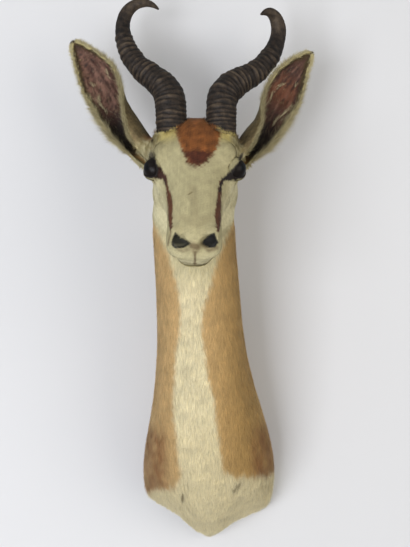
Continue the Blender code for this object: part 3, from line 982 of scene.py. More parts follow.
@dataclass(frozen=True)
class CoatPlan:
    """The whole coat: its colours, how long the hair is, how thick it lies and which way it is combed."""

    cream: str = "#ABA27B"
    brow_grey: str = "#81744A"
    cheek: str = "#C0B893"
    horn_foot: str = "#C4B26A"
    throat: str = "#E3D7AF"
    chin: str = "#CEC49A"
    bib: str = "#E5D8AE"
    tan: str = "#CDAC76"
    # Painted shade: the deeper tan on the neck's right side.
    tan_deep: str = "#BC9552"
    rust: str = "#8C5529"
    nape: str = "#9A7848"
    ear_back: str = "#857350"
    ear_fold: str = "#55482E"
    ear_rim: str = "#A59969"
    ear_inside: str = "#452A20"
    ear_pink: str = "#755546"
    ear_flush: str = "#6C3D23"
    ear_band: str = "#403319"
    ear_hair: str = "#CBC095"
    # Dark ear skin in streaks and at the left tip, and painted shade deep in the cups.
    ear_dark_and_shade: str = "#1B120E"
    nose: str = "#0E0D0B"
    # The nose's left half and the lower inside of the left nostril are painted lighter, as painted light from
    # the left.
    nose_left: str = "#25251D"
    nostril_lit_grey: str = "#5A5746"
    # Brown of the nose's web, and painted shade under the nostrils, in the mouth's crease and down the
    # muzzle's left side.
    muzzle_brown_and_shade: str = "#5E4A30"
    head: HeadAxes = HeadAxes()
    sheet: Sheet = Sheet()
    ears: tuple[EarLine, EarLine] = (EarLine(Side.LEFT, LEFT_EAR), EarLine(Side.RIGHT, RIGHT_EAR))

    def on_ears(self, points: np.ndarray) -> tuple[EarPlaces, EarPlaces]:
        """Where points lie on the left and on the right ear."""
        return self.ears[0].read(points), self.ears[1].read(points)

    def on_head(self, points: np.ndarray) -> np.ndarray:
        """1 on the head, 0 on the neck, parted by the line of the jaw.

        Args:
            points: places in metres, one a row.

        Returns:
            Shares from 0 to 1.
        """
        over_jaw = (points[:, 1] + 0.110) * -0.4921 + (points[:, 2] - 0.302) * 0.8706
        before_nape = -0.112 - points[:, 1]
        return ease(np.minimum(over_jaw, before_nape), -0.005, 0.008)

    def in_nostril(self, points: np.ndarray) -> np.ndarray:
        """How far each point lies inside a nostril's dark skin, in mm.

        Args:
            points: places in metres, one a row.

        Returns:
            One distance a point, negative outside.
        """
        flat = self.sheet.flatten(points)
        deepest = np.maximum(inside_by(flat, LEFT_NOSTRIL), inside_by(flat, RIGHT_NOSTRIL))
        return np.where(points[:, 1] < -0.25, deepest, -99.0)

    def lay(self, points: np.ndarray) -> np.ndarray:
        """How deep the combed coat lies over the skin, in metres.

        Args:
            points: places in metres, one a row.

        Returns:
            One depth a point.
        """
        along = self.head.read(points)[0]
        head = self.on_head(points)
        neck = 1.9 * MM + 1.0 * MM * ease(points[:, 2], 0.05, -0.08)
        face = 0.45 * MM + 0.5 * MM * ease(along, 0.02, -0.02) - 0.1 * MM * ease(along, 0.16, 0.185)
        depth = neck + (face - neck) * head
        return depth + (0.6 * MM - depth) * nearer(self.on_ears(points)).near

    def flow(self, points: np.ndarray, normals: np.ndarray, ears: tuple[EarPlaces, EarPlaces]) -> np.ndarray:
        """Which way the hair is combed.

        Args:
            points: roots, in metres.
            normals: the skin's normals there.
            ears: where the roots lie on the two ears.

        Returns:
            Directions along the skin.
        """
        along, across, above = self.head.read(points)
        down = np.tile((0.0, 0.0, -1.0), (len(points), 1))
        down[:, 0] = points[:, 0] * 5.0 * ease(points[:, 2], 0.06, -0.08)
        down[:, 1] = 0.25 * ease(points[:, 1], -0.12, -0.02)
        face = np.tile(self.head.down_face, (len(points), 1))
        cheek = np.tile((0.0, 0.35, -0.94), (len(points), 1))
        on_cheek = ease(above, -0.03, -0.06) * ease(along, 0.20, 0.10)
        poll = np.tile((0.0, 0.5, 0.85), (len(points), 1))
        # The hair parts behind the brow, where it turns sideways between face and poll.
        over = ease(along, 0.002, -0.026) * ease(above, -0.06, -0.03)
        head_way = blend(blend(face, cheek, on_cheek), poll, over)
        head_way[:, 0] += np.sign(across) * 2.5 * over * (1 - over)
        way = blend(down, head_way, self.on_head(points))
        for ear in ears:
            way = blend(way, ear.ahead, ear.near)
        turned = 0.16 * ripple(points, 0.022, 31) + 0.10 * ripple(points, 0.007, 32)
        way = unit(way - normals * dot(way, normals)[:, None])
        return unit(way + np.cross(normals, way) * turned[:, None])

    def length(self, points: np.ndarray, ears: tuple[EarPlaces, EarPlaces]) -> np.ndarray:
        """How long the hair is, in metres.

        Args:
            points: the roots.
            ears: where the roots lie on the two ears.

        Returns:
            One length a root.
        """
        along, _, above = self.head.read(points)
        neck = 11 * MM + 5 * MM * ease(points[:, 2], 0.08, -0.08)
        face = 4.4 * MM + 3.5 * MM * ease(along, 0.045, 0.01) - 1.4 * MM * ease(along, 0.15, 0.18)
        face = face + 1.6 * MM * ease(above, -0.03, -0.07)
        long = neck + (face - neck) * self.on_head(points)
        for ear in ears:
            long = long + (4.2 * MM - long) * ear.near
        return long

    def skin_colour(self, points: np.ndarray, normals: np.ndarray) -> np.ndarray:
        """The colour of hair or skin at places on the hide.

        Args:
            points: the places, in metres.
            normals: the skin's normals there.

        Returns:
            Linear colours, one row a place.
        """
        flat = self.sheet.flatten(points)
        along, across, above = self.head.read(points)
        wander = np.stack([ripple(points, 0.006, 11), ripple(points, 0.006, 12)], 1)
        x, z = points[:, 0] / MM, points[:, 2] / MM
        # The neck's right side is painted a deeper tan, a painted shade away from the light on the left. The
        # tan also deepens towards the wall and the nape and turns to rust by the bib.
        tan = plain(self.tan, len(points))
        tan = tinted(tan, self.tan_deep, ease(x, -20, 55) * 0.8)
        tan = tinted(tan, self.nape, ease(points[:, 1], -0.10, -0.03) * ease(z, 60, 180) * 0.7)
        above_bib = z - np.interp(x, *np.array(BIB_TOP).T)
        low_corner = ease(np.abs(x), 48, 66) * ease(z, 22, -8) * (0.75 + 0.25 * ripple(points, 0.018, 14))
        tan = tinted(tan, self.rust, np.clip(low_corner, 0, 1) * 0.85)
        rows = np.array(THROAT_STRIPE)
        left, right = np.interp(z, rows[:, 0], rows[:, 1]), np.interp(z, rows[:, 0], rows[:, 2])
        in_stripe = np.minimum(x - left, right - x) + wander[:, 0] * 1.6
        behind = np.interp(z, (255, 285, 350), (-90, -122, -134))
        facing = ease(points[:, 1] / MM, behind + 3, behind - 3)
        white = ease(in_stripe, -3.5, 3.5) * np.clip(facing, 0, 1)
        white = np.maximum(white, ease(above_bib + wander[:, 1] * 2.5, 3.5, -3.5))
        light = tinted(plain(self.bib, len(points)), self.throat, ease(z, -20, 40))
        light = tinted(light, self.chin, ease(z, 185, 225) * 0.8)
        neck = blend(tan, light, white)
        # The head is cream in front and tan behind the horns.
        head = plain(self.cream, len(points))
        brow_tint = ease(along, 0.05, 0.0) * ease(np.abs(across), 0.028, 0.046)
        head = tinted(head, self.cheek, ease(above, -0.02, -0.045))
        brow_patches = np.clip(0.55 + 0.45 * ripple(points, 0.006, 15), 0, 1)
        head = tinted(head, self.brow_grey, brow_tint * brow_patches)
        aside = np.abs(across)
        by_horn = ease(along, 0.036, 0.008) * ease(aside, 0.018, 0.026) * ease(aside, 0.050, 0.040)
        head = tinted(head, self.horn_foot, by_horn * 0.75)
        head = blend(head, linear(self.rust)[None] * 0.8, ease(along, -0.004, -0.016))
        head = tinted(head, self.nape, ease(along, -0.032, -0.055))
        on_head = self.on_head(points)
        jaw_front = ease(points[:, 1] / MM + wander[:, 0], behind + 4, behind - 4)
        head = blend(tan, head, np.maximum(jaw_front, ease(along, 0.0, -0.01) * ease(above, -0.06, -0.04)))
        combed = 0.05 * ripple(points * (1, 1, 0.3), 0.006, 18) + 0.03 * ripple(points, 0.03, 19)
        neck = neck * (1 + combed)[:, None]
        colour = blend(neck, head, on_head)
        grain = 0.085 * ripple(points, 0.0035, 16) + 0.05 * ripple(points, 0.013, 17)
        colour = colour * (1 + grain * on_head)[:, None]
        in_front, over_jaw = ease(normals[:, 1], -0.1, -0.3), ease(above, -0.042, -0.035)
        for marking in MARKINGS:
            depth = inside_by(flat + wander * marking.ragged, marking.outline)
            on_face = ease(points[:, 1], marking.behind, marking.behind - 0.01) * over_jaw
            share = ease(depth, -marking.soft / 2, marking.soft / 2)
            share = share * (on_face if marking.on_face else in_front)
            mark_colour = linear(marking.colour) * (1 + 3.2 * grain * marking.on_face)[:, None]
            colour = blend(colour, mark_colour, share)
        # The nose: black skin, a brown web between the nostrils and a line from it to the mouth.
        # Brown muzzle lines: the web, the line to the mouth and the faint tints down the face are the skin's
        # own colour; under the nostrils, in the mouth's crease and down the muzzle's left side they are
        # painted shade.
        lines = np.maximum.reduce([stroke.share(flat) for stroke in STROKES])
        colour = tinted(colour, self.muzzle_brown_and_shade, lines * ease(points[:, 1], -0.2, -0.215))
        # Painted light from the left: the nose's left half is lighter, and so is the lower inside of the left
        # nostril.
        on_left = flat[:, 0] < self.head.brow[0] / MM
        nose = np.where(on_left[:, None], linear(self.nose_left)[None], linear(self.nose)[None])
        in_nostril = self.in_nostril(points)
        mottle_and_nostril_light = ease(in_nostril, 1.6, 3.6) * ease(flat[:, 1], 253, 249)
        nose = tinted(nose, self.nostril_lit_grey, mottle_and_nostril_light * np.where(on_left, 0.8, 0.1))
        colour = blend(colour, nose, ease(in_nostril, -0.9, 0.4))
        for ear in self.ears:
            place = ear.read(points)
            colour = blend(colour, self.ear_colour(ear, place, points), place.near)
        return colour

    def ear_colour(self, ear: EarLine, place: EarPlaces, points: np.ndarray) -> np.ndarray:
        """The colours of an ear, inside and out.

        Args:
            ear: which ear.
            place: where the points lie on it.
            points: the points.

        Returns:
            Linear colours, one row a point.
        """
        count = len(points)
        # Patches and streaks are drawn out along the ear.
        streak = np.stack([place.turn * 0.02, place.along * 0.06, np.zeros(count)], 1)
        streaks = ripple(streak, 0.009, 21 + ear.side.value)
        veins = ripple(streak, 0.0045, 24 + ear.side.value)
        inside = plain(self.ear_inside, count)
        pink = ease(place.along, 0.42, 0.56) * ease(place.along, 0.95, 0.80)
        pink = pink * ease(place.to_rim, 0.005, 0.013)
        share = 0.5 if ear.side is Side.LEFT else 0.05
        inside = tinted(inside, self.ear_pink, pink * np.clip(share + 0.6 * streaks, 0, 1))
        if ear.side is Side.RIGHT:
            flush = ease(np.abs(place.along - 0.66), 0.13, 0.03) * ease(place.to_rim, 0.011, 0.019)
            inside = tinted(inside, self.ear_flush, flush * 0.55)
        inside = tinted(inside, self.ear_band, ease(place.to_rim + 0.002 * veins, 0.015, 0.007) * 0.9)
        inside = tinted(inside, self.ear_dark_and_shade, np.clip(0.75 * veins - 0.05, 0, 0.75))
        # Painted shade: the cup turns near black towards its foot, deep inside the rolled ear.
        inside = tinted(inside, self.ear_dark_and_shade, ease(place.along, 0.50, 0.34))
        outside = plain(self.ear_back, count)
        fold = ease(place.along, 0.62, 0.5) * ease(np.abs(place.turn + 1.6), 1.5, 0.9)
        outside = tinted(outside, self.ear_fold, fold)
        rim = ease(place.to_rim + 0.0016 * veins, 0.0048, 0.0020)
        on_fold = ease(np.abs(place.turn + 1.6), 1.3, 0.8)
        root = 0.6 * ease(place.along, 0.22, 0.15) * (1 - on_fold)
        outside = tinted(outside, self.ear_rim, np.maximum(rim * (0.75 + 0.25 * veins), root))
        outside = outside * (1 + 0.26 * ripple(points, 0.0038, 27) + 0.12 * streaks)[:, None]
        inner_rim = ease(place.to_rim + 0.001 * streaks, 0.0020, 0.0006)
        inside = tinted(inside, self.ear_rim, inner_rim)
        colour = blend(outside, inside, place.inside)
        # The left ear's tip is worn down to dark skin.
        return tinted(colour, self.ear_dark_and_shade, ease(place.along, 0.985, 0.995) * (ear.side is Side.LEFT))


# The hide


@dataclass
class Hide:
    """The tanned skin over its form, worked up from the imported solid."""

    plan: CoatPlan
    voxel: float = 2.3 * MM
    rounds: int = 46
    shrinks: float = 0.62  # a round of smoothing draws in by this share and lets out again by the next
    swells: float = 0.60
    lip_rounds: int = 110
    mouth_line: float = -46.5 * MM  # off the line of the face
    fold_height: float = 1.3 * MM
    crease_rounds: int = 40
    skin: bpy.types.Object | None = field(default=None, init=False)

    def remeshed(self, source: bpy.types.Object) -> bpy.types.Mesh:
        """An even, fine mesh over a copy of the solid.

        Args:
            source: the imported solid.

        Returns:
            The new mesh.
        """
        copy = bpy.data.objects.new("skin_form", source.data.copy())
        bpy.context.scene.collection.objects.link(copy)
        remesh = copy.modifiers.new("even", "REMESH")
        remesh.mode = "VOXEL"
        remesh.voxel_size = self.voxel
        bpy.context.view_layer.update()
        made = bpy.data.meshes.new_from_object(copy.evaluated_get(bpy.context.evaluated_depsgraph_get()))
        bpy.data.objects.remove(copy)
        return made

    def freedom(self, points: np.ndarray) -> np.ndarray:
        """How freely the smoothing may move each point, from 0 to 1.

        Args:
            points: places in metres, one a row.

        Returns:
            One share a point.
        """
        free = np.ones(len(points))
        for ear in self.plan.ears:
            free = free * (1 - 0.88 * ear.read(points).near)
        for side in Side:
            eye = eye_centre(side)
            free = free * (1 - 0.85 * ease(np.linalg.norm(points - eye, axis=1), 0.021, 0.0165))
        free = free * (1 - 0.9 * ease(self.plan.in_nostril(points), -4.0, 0.0))
        return free * ease(points[:, 1], -0.0005, -0.012)

    def soften(self, points: np.ndarray, triangles: np.ndarray) -> np.ndarray:
        """Evens the solid's flat facets out without letting it shrink.

        Args:
            points: the vertices, one a row.
            triangles: their triangles.

        Returns:
            The vertices' new places.
        """
        pairs = neighbours(triangles)
        free = self.freedom(points)[:, None]
        for number in range(self.rounds * 2):
            step = self.shrinks if number % 2 == 0 else -self.swells
            points = points + to_middle(points, pairs) * step * free
        return points

    def close_lips(self, points: np.ndarray, triangles: np.ndarray) -> np.ndarray:
        """Draws the mouth's slot together to a shallow groove, as the hair over it does.

        Args:
            points: the vertices, one a row.
            triangles: their triangles.

        Returns:
            The vertices' new places.
        """
        pairs = neighbours(triangles)
        along, _, above = self.plan.head.read(points)
        near = ease(np.abs(above - self.mouth_line), 0.0095, 0.0055) * ease(along, 0.112, 0.125)
        pairs = pairs[near[pairs[:, 0]] > 0]
        for _ in range(self.lip_rounds):
            points = points + to_middle(points, pairs) * (0.7 * near)[:, None]
        return points

    def fill_creases(self, points: np.ndarray, triangles: np.ndarray) -> np.ndarray:
        """Lifts the bottoms of the head's creases, which thick hair would bridge.

        Args:
            points: the vertices, one a row.
            triangles: their triangles.

        Returns:
            The vertices' new places.
        """
        pairs = neighbours(triangles)
        free = self.freedom(points) ** 2 * self.plan.on_head(points) * 0.9
        for number in range(self.crease_rounds):
            if number % 8 == 0:
                normals = facing_out(points, triangles)
            lift = np.maximum(dot(to_middle(points, pairs), normals), 0) * free
            points = points + normals * lift[:, None]
        return points

    def build(self, source: bpy.types.Object, material: bpy.types.Material) -> None:
        """Makes the skin.

        Args:
            source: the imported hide.
            material: what the skin is made of.
        """
        mesh = self.remeshed(source)
        triangles = triangles_of(mesh)
        points = self.close_lips(self.soften(vertices_of(mesh), triangles), triangles)
        points = self.fill_creases(points, triangles)
        mesh.vertices.foreach_set("co", points.astype(np.float32).ravel())
        mesh.update()
        normals = normals_of(mesh)
        keep_back = ease(points[:, 1], -0.001, -0.004)
        points = points - normals * (self.plan.lay(points) * keep_back)[:, None]
        points = points - normals * self.ear_relief(points)[:, None]
        mesh.vertices.foreach_set("co", points.astype(np.float32).ravel())
        mesh.update()
        mesh.polygons.foreach_set("use_smooth", np.ones(len(mesh.polygons), dtype=bool))
        self.skin = bpy.data.objects.new("hide_skin", mesh)
        bpy.context.scene.collection.objects.link(self.skin)
        paint(self.skin, COAT_COLOUR, self.plan.skin_colour(points, normals))
        dress(self.skin, material, Slot.COAT, "hide")

    def ear_relief(self, points: np.ndarray) -> np.ndarray:
        """Folds of cartilage that run up the inside of the ears, in metres.

        Args:
            points: places in metres, one a row.

        Returns:
            One height a point.
        """
        total = np.zeros(len(points))
        for ear in self.plan.ears:
            place = ear.read(points)
            folds = 0.5 * np.sin(place.turn * 5.0 + 1.5 * np.sin(place.along * 9.0))
            folds = folds + 0.4 * ripple(points, 0.008, 35)
            total += self.fold_height * folds * place.inside * place.near * ease(place.along, 0.30, 0.45)
        return total


def eye_centre(side: Side) -> np.ndarray:
    """The middle of an eyeball."""
    return HeadAxes().place(0.051, side.value * 0.0495, -0.0275)


# Hair


@dataclass(frozen=True)
class Hairs:
    """Roots and directions of many hairs."""

    roots: np.ndarray
    normals: np.ndarray
    ways: np.ndarray
    lengths: np.ndarray
    widths: np.ndarray
    lifts: np.ndarray  # angles off the skin, in radians
    feet: np.ndarray  # colour at the skin
    tips: np.ndarray  # colour at the tip

    def chosen(self, keep: np.ndarray) -> Hairs:
        """Only the hairs that are kept, from a mask or a list of numbers."""
        return Hairs(*(getattr(self, item.name)[keep] for item in fields(self)))


def in_place_order(points: np.ndarray) -> np.ndarray:
    """An order in which neighbours in space mostly follow each other.

    Args:
        points: places in metres, one a row.

    Returns:
        Row numbers in that order.
    """
    low = points.min(0)
    cells = ((points - low) / (points.max(0) - low).max() * 1023).astype(np.int64)
    code = np.zeros(len(points), np.int64)
    for bit in range(10):
        for axis in range(3):
            code |= ((cells[:, axis] >> bit) & 1) << (3 * bit + axis)
    return np.argsort(code, kind="stable")


@dataclass
class Barber:
    """Cuts hair as narrow pointed blades and lays it on the skin."""

    seed: int
    roll: float = math.radians(28)
    shade: float = 0.12
    lets_light_in: float = 0.0  # how far the hairs are lit as if they faced the room
    rooted: float = 0.3 * MM
    wall_gap: float = 0.4 * MM
    rng: np.random.Generator = field(init=False)

    def __post_init__(self) -> None:
        """Starts its own row of random draws."""
        self.rng = np.random.default_rng(self.seed)

    def scatter(self, skin: bpy.types.Mesh, count: int, density: np.ndarray) -> tuple[np.ndarray, np.ndarray]:
        """Roots strewn over the skin.

        Args:
            skin: the mesh they stand on.
            count: how many.
            density: how thick they stand at each vertex.

        Returns:
            Roots and the skin's normals there.
        """
        points, normals, triangles = vertices_of(skin), normals_of(skin), triangles_of(skin)
        a, b, c = (points[triangles[:, i]] for i in range(3))
        area = np.linalg.norm(np.cross(b - a, c - a), axis=1) * density[triangles].mean(1)
        edges = np.cumsum(area)
        picked = np.searchsorted(edges, self.rng.random(count) * edges[-1])
        u, v = self.rng.random(count), self.rng.random(count)
        over = u + v > 1
        u[over], v[over] = 1 - u[over], 1 - v[over]
        weights = np.stack([1 - u - v, u, v], 1)[:, :, None]
        corners = triangles[np.minimum(picked, len(triangles) - 1)]
        return (points[corners] * weights).sum(1), unit((normals[corners] * weights).sum(1))

    def cut(self, name: str, hairs: Hairs, material: bpy.types.Material) -> bpy.types.Object:
        """Makes a piece of coat.

        Args:
            name: the piece's name.
            hairs: what it consists of.
            material: what hair is made of.

        Returns:
            The piece.
        """
        hairs = hairs.chosen(in_place_order(hairs.roots))
        count = len(hairs.roots)
        ways = unit(hairs.ways + np.cross(hairs.normals, hairs.ways) * self.rng.normal(0, 0.07, (count, 1)))
        lifts = hairs.lifts * self.rng.uniform(0.6, 1.35, count)
        rising = ways * np.cos(lifts)[:, None] + hairs.normals * np.sin(lifts)[:, None]
        turn = self.rng.normal(0, self.roll, count)[:, None]
        beside = np.cross(hairs.normals, rising) * np.cos(turn) + hairs.normals * np.sin(turn)
        long = (hairs.lengths * self.rng.uniform(0.72, 1.15, count))[:, None]
        half = (hairs.widths * self.rng.uniform(0.7, 1.2, count))[:, None] / 2
        base = hairs.roots - hairs.normals * self.rooted
        points = np.stack([base - beside * half, base + beside * half, base + rising * long], 1)
        points[..., 1] = np.minimum(points[..., 1], -self.wall_gap)
        faces = np.arange(count * 3).reshape(-1, 3)
        a, b, c = points[:, 0], points[:, 1], points[:, 2]
        over = dot(np.cross(b - a, c - a), hairs.normals) < 0
        faces[over] = faces[over][:, ::-1]
        lit = hairs.normals + rising * 0.1 + beside * self.rng.normal(0, 0.16, (count, 1))
        lit = unit(lit + np.array((0.0, -self.lets_light_in, 0.0)))
        made = mesh_object(name, points.reshape(-1, 3), faces, np.repeat(lit, 3, 0))
        tone = 1 + self.rng.normal(0, self.shade, (count, 1))
        colours = np.stack([hairs.feet * tone * 0.88, hairs.feet * tone * 0.88, hairs.tips * tone * 1.03], 1)
        paint(made, COAT_COLOUR, colours.reshape(-1, 3))
        self.map(made, count)
        dress(made, material, Slot.COAT)
        return made

    def map(self, thing: bpy.types.Object, count: int) -> None:
        """Gives each hair a cell of its own on the piece's map.

        Args:
            thing: the piece.
            count: how many hairs it has.
        """
        across = math.ceil(math.sqrt(count))
        cells = np.arange(count)
        corner = np.stack([cells % across, cells // across], 1)[:, None, :]
        shape = np.array(((0.06, 0.06), (0.94, 0.06), (0.5, 0.94)))[None]
        uv = ((corner + shape) / across).reshape(-1, 2)
        layer = thing.data.uv_layers.new(name="OFBake")
        loops = np.empty(len(thing.data.loops), np.int32)
        thing.data.loops.foreach_get("vertex_index", loops)
        layer.data.foreach_set("uv", uv[loops].astype(np.float32).ravel())


@dataclass
class Coat:
    """All the hair of the mount, in pieces of neck, throat, head and ears."""

    plan: CoatPlan
    neck_hairs: int = 230000
    throat_hairs: int = 115000
    head_hairs: int = 165000
    ear_hairs: int = 90000
    fringe_hairs: int = 26000
    collar_hairs: int = 12000
    cup_hairs: int = 22000
    lid_hairs: int = 6000
    rim_width: float = 3.0 * MM
    eye_clearing: float = 15.8 * MM
    sockets: tuple[float, float] = (-30.5 * MM, 33.5 * MM)  # across the head from its middle
    socket_radius: float = 19.5 * MM
    socket_foot: float = 372 * MM
    collar_foot: float = 382 * MM

    def growth(self, points: np.ndarray) -> np.ndarray:
        """1 where hair grows, 0 on the wall side, in the eyes, nostrils and horn sockets.

        Args:
            points: places in metres, one a row.

        Returns:
            Shares from 0 to 1.
        """
        grows = ease(points[:, 1], -0.002, -0.006)
        for side in Side:
            grows = grows * (np.linalg.norm(points - eye_centre(side), axis=1) > self.eye_clearing)
        grows = grows * (self.plan.in_nostril(points) < -0.4)
        for across in self.sockets:
            aside = points[:, 0] - (self.plan.head.brow[0] + across)
            in_socket = np.hypot(aside, (points[:, 1] + 0.150) / 1.12) < self.socket_radius
            grows = grows * ~(in_socket & (points[:, 2] > self.socket_foot))
        return grows

    def grow(self, barber: Barber, skin: bpy.types.Mesh, count: int, zone: np.ndarray, width: float) -> Hairs:
        """Hairs over one zone of the skin.

        Args:
            barber: who strews the roots.
            skin: the skin.
            count: how many hairs.
            zone: how thick they stand at each vertex.
            width: a hair's width in metres.

        Returns:
            The hairs.
        """
        roots, normals = barber.scatter(skin, count, zone)
        ears = self.plan.on_ears(roots)
        lengths = self.plan.length(roots, ears)
        lifts = np.arcsin(np.clip(self.plan.lay(roots) / lengths, 0.04, 0.6))
        ways = self.plan.flow(roots, normals, ears)
        # A marking is seen where the hairs' tips lie, not where their roots stand.
        reach = (ways + normals * 0.15) * lengths[:, None]
        feet = self.plan.skin_colour(roots + reach * 0.4, normals)
        tips = self.plan.skin_colour(roots + reach * 0.85, normals)
        return Hairs(roots, normals, ways, lengths, np.full(count, width), lifts, feet, tips)

    def build(self, skin: bpy.types.Object, material: bpy.types.Material) -> None:
        """Grows the coat on the hide: neck, throat, head and ears, with the ears' fringes and cups.

        Args:
            skin: the hide's skin.
            material: what hair is made of.
        """
        mesh = skin.data
        points = vertices_of(mesh)
        grows = self.growth(points)
        place = nearer(self.plan.on_ears(points))
        ear, inside = place.near > 0.5, place.inside > 0.5
        head = (self.plan.on_head(points) > 0.5) & ~ear
        x = points[:, 0] / MM
        rows = np.array(THROAT_STRIPE)
        left = np.interp(points[:, 2] / MM, rows[:, 0], rows[:, 1])
        right = np.interp(points[:, 2] / MM, rows[:, 0], rows[:, 2])
        bib = points[:, 2] / MM < np.interp(x, *np.array(BIB_TOP).T)
        light = (((x > left) & (x < right) & (points[:, 1] < -0.02)) | bib) & ~head & ~ear
        neck = ~head & ~ear & ~light
        middle = np.interp(points[:, 2], (-0.1, 0.1, 0.3), (0.0, -0.012, -0.021))
        pieces = (
            ("coat_neck_left", neck & (points[:, 0] < middle), self.neck_hairs // 2, 0.62 * MM, 41),
            ("coat_neck_right", neck & (points[:, 0] >= middle), self.neck_hairs // 2, 0.62 * MM, 42),
            ("coat_throat", light, self.throat_hairs, 0.62 * MM, 43),
            ("coat_head", head, self.head_hairs, 0.5 * MM, 44),
            ("coat_ears", ear & ~inside, self.ear_hairs, 0.45 * MM, 45),
        )
        for name, zone, count, width, seed in pieces:
            on_head = name == "coat_head"
            barber = Barber(seed, math.radians(6 if on_head else 14), lets_light_in=0.5 if on_head else 0.0)
            barber.cut(name, self.grow(barber, mesh, count, zone * grows, width), material)
        self.fringe(mesh, ear & (place.to_rim < self.rim_width), material)
        self.ear_hair(mesh, ear & inside & (place.to_rim > self.rim_width), material)

    def fringe(self, mesh: bpy.types.Mesh, zone: np.ndarray, material: bpy.types.Material) -> None:
        """Pale hair that stands out all round the ears' edges, longest low down on the outer side.

        Args:
            mesh: the skin.
            zone: where the edges are.
            material: what hair is made of.
        """
        barber = Barber(51)
        roots, normals = barber.scatter(mesh, self.fringe_hairs, zone.astype(float))
        count, place = len(roots), nearer(self.plan.on_ears(roots))
        outer = ease(place.turn, -0.2, 0.4)
        low = ease(place.along, 0.62, 0.45) * ease(place.along, 0.2, 0.3)
        lengths = (6.0 + 2.5 * ease(place.along, 0.9, 0.6) + 4.5 * outer * low) * MM
        lengths = lengths * ease(place.along, 1.04, 0.9) * barber.rng.uniform(0.5, 1.2, count)
        splay = 0.6 + 0.5 * barber.rng.normal(size=(count, 1))
        ways = unit(place.ahead * 0.85 + place.outwards * splay)
        feet = plain(self.plan.ear_band, count)
        feet = tinted(feet, self.plan.ear_rim, barber.rng.uniform(0.1, 1.0, count))
        # About half of the hairs keep the brown of the ear's back, so the edge looks brindled.
        dark = (barber.rng.random(count) < 0.55) * ease(place.along, 0.95, 0.7)
        tips = tinted(plain(self.plan.ear_hair, count), self.plan.ear_fold, dark * 0.8)
        widths, lifts = np.full(count, 0.45 * MM), np.full(count, 0.2)
        hairs = Hairs(roots, normals, ways, lengths, widths, lifts, feet, tips)
        barber.cut("coat_ear_fringe", hairs, material)

    def ear_hair(self, mesh: bpy.types.Mesh, zone: np.ndarray, material: bpy.types.Material) -> None:
        """Thin dark hair in the cups of the ears, with pale locks in it.

        Args:
            mesh: the skin.
            zone: where the cups are.
            material: what hair is made of.
        """
        barber = Barber(52)
        roots, normals = barber.scatter(mesh, self.cup_hairs, zone.astype(float))
        count = len(roots)
        place = nearer(self.plan.on_ears(roots))
        flat = self.plan.sheet.flatten(roots) + barber.rng.normal(0, 0.5, (count, 2))
        lock = np.maximum.reduce([stroke.share(flat) for stroke in EAR_LOCKS])
        lengths = (4.5 + 2.5 * lock + 3.0 * barber.rng.random(count)) * MM
        swirl = 0.45 * ripple(roots, 0.020, 54) + barber.rng.normal(0, 0.15, count)
        ways = unit(place.ahead + np.cross(normals, place.ahead) * swirl[:, None])
        skin = self.plan.skin_colour(roots, normals)
        by_rim = (barber.rng.random(count) < 0.55) * ease(place.to_rim, 0.007, 0.003)
        stray = 0.5 * (barber.rng.random(count) < 0.05)
        pale = np.clip(lock + by_rim + stray, 0, 1)
        feet = blend(skin * 0.9, linear(self.plan.ear_hair)[None] * 0.6, pale)
        tips = blend(skin * 1.35, linear(self.plan.ear_hair)[None], pale)
        widths, lifts = np.full(count, 0.34 * MM), np.full(count, 0.22)
        hairs = Hairs(roots, normals, ways, lengths, widths, lifts, feet, tips)
        barber.cut("coat_ear_cups", hairs, material)

    def horn_collars(self, horns: tuple[Horn, Horn], material: bpy.types.Material) -> None:
        """Hair that climbs the foot of each horn, highest on the side towards the crown.

        Args:
            horns: the two horns.
            material: what hair is made of.
        """
        for horn in horns:
            barber = Barber(90 + horn.side.value, lets_light_in=0.3)
            count = self.collar_hairs // 2
            turns = barber.rng.uniform(0, math.tau, count)
            inner = -horn.side.value * np.cos(turns)
            top = self.collar_foot + 7 * MM + 13 * MM * ease(inner, -0.5, 0.9)
            height = self.collar_foot + (top - self.collar_foot) * barber.rng.random(count)
            line = np.array(horn.rows)[:4]
            x, y, half = (np.interp(height, line[:, 2], line[:, column]) for column in (0, 1, 3))
            normals = unit(np.stack([np.cos(turns), np.sin(turns) / horn.depth_ratio, np.zeros(count)], 1))
            reach = half + 1.6 * MM
            deep = reach * horn.depth_ratio
            roots = np.stack([x + reach * np.cos(turns), y + deep * np.sin(turns), height], 1)
            swirl = barber.rng.normal(0, 0.22, (count, 1))
            ways = unit(np.array((0.0, 0.0, 1.0)) + np.cross(normals, (0, 0, 1)) * swirl)
            colour = self.plan.skin_colour(roots + ways * 3 * MM, normals)
            yellow = ease(inner, 0.45, 0.05) * ease(normals[:, 1], 0.3, -0.1) * 0.8
            colour = tinted(colour, self.plan.horn_foot, yellow)
            hairs = Hairs(
                roots, normals, ways, barber.rng.uniform(4.5, 8.5, count) * MM, np.full(count, 0.45 * MM),
                np.full(count, 0.16), colour * 0.9, colour,
            )
            barber.cut(f"coat_horn_{horn.side.name.lower()}", hairs, material)

    def line_lids(
        self, side: Side, lid: bpy.types.Object, rows: np.ndarray, material: bpy.types.Material
    ) -> None:
        """Short hair on an eyelid.

        Args:
            side: which eye.
            lid: the lid.
            rows: how far each vertex lies from the lid's edge, counted in rows.
            material: what hair is made of.
        """
        barber = Barber(55 + side.value, math.radians(6), lets_light_in=0.5)
        hairs = self.grow(barber, lid.data, self.lid_hairs, (rows > 3).astype(float), 0.4 * MM)
        barber.cut(f"coat_eyelids_{side.name.lower()}", hairs, material)


# Horns, eyes and board


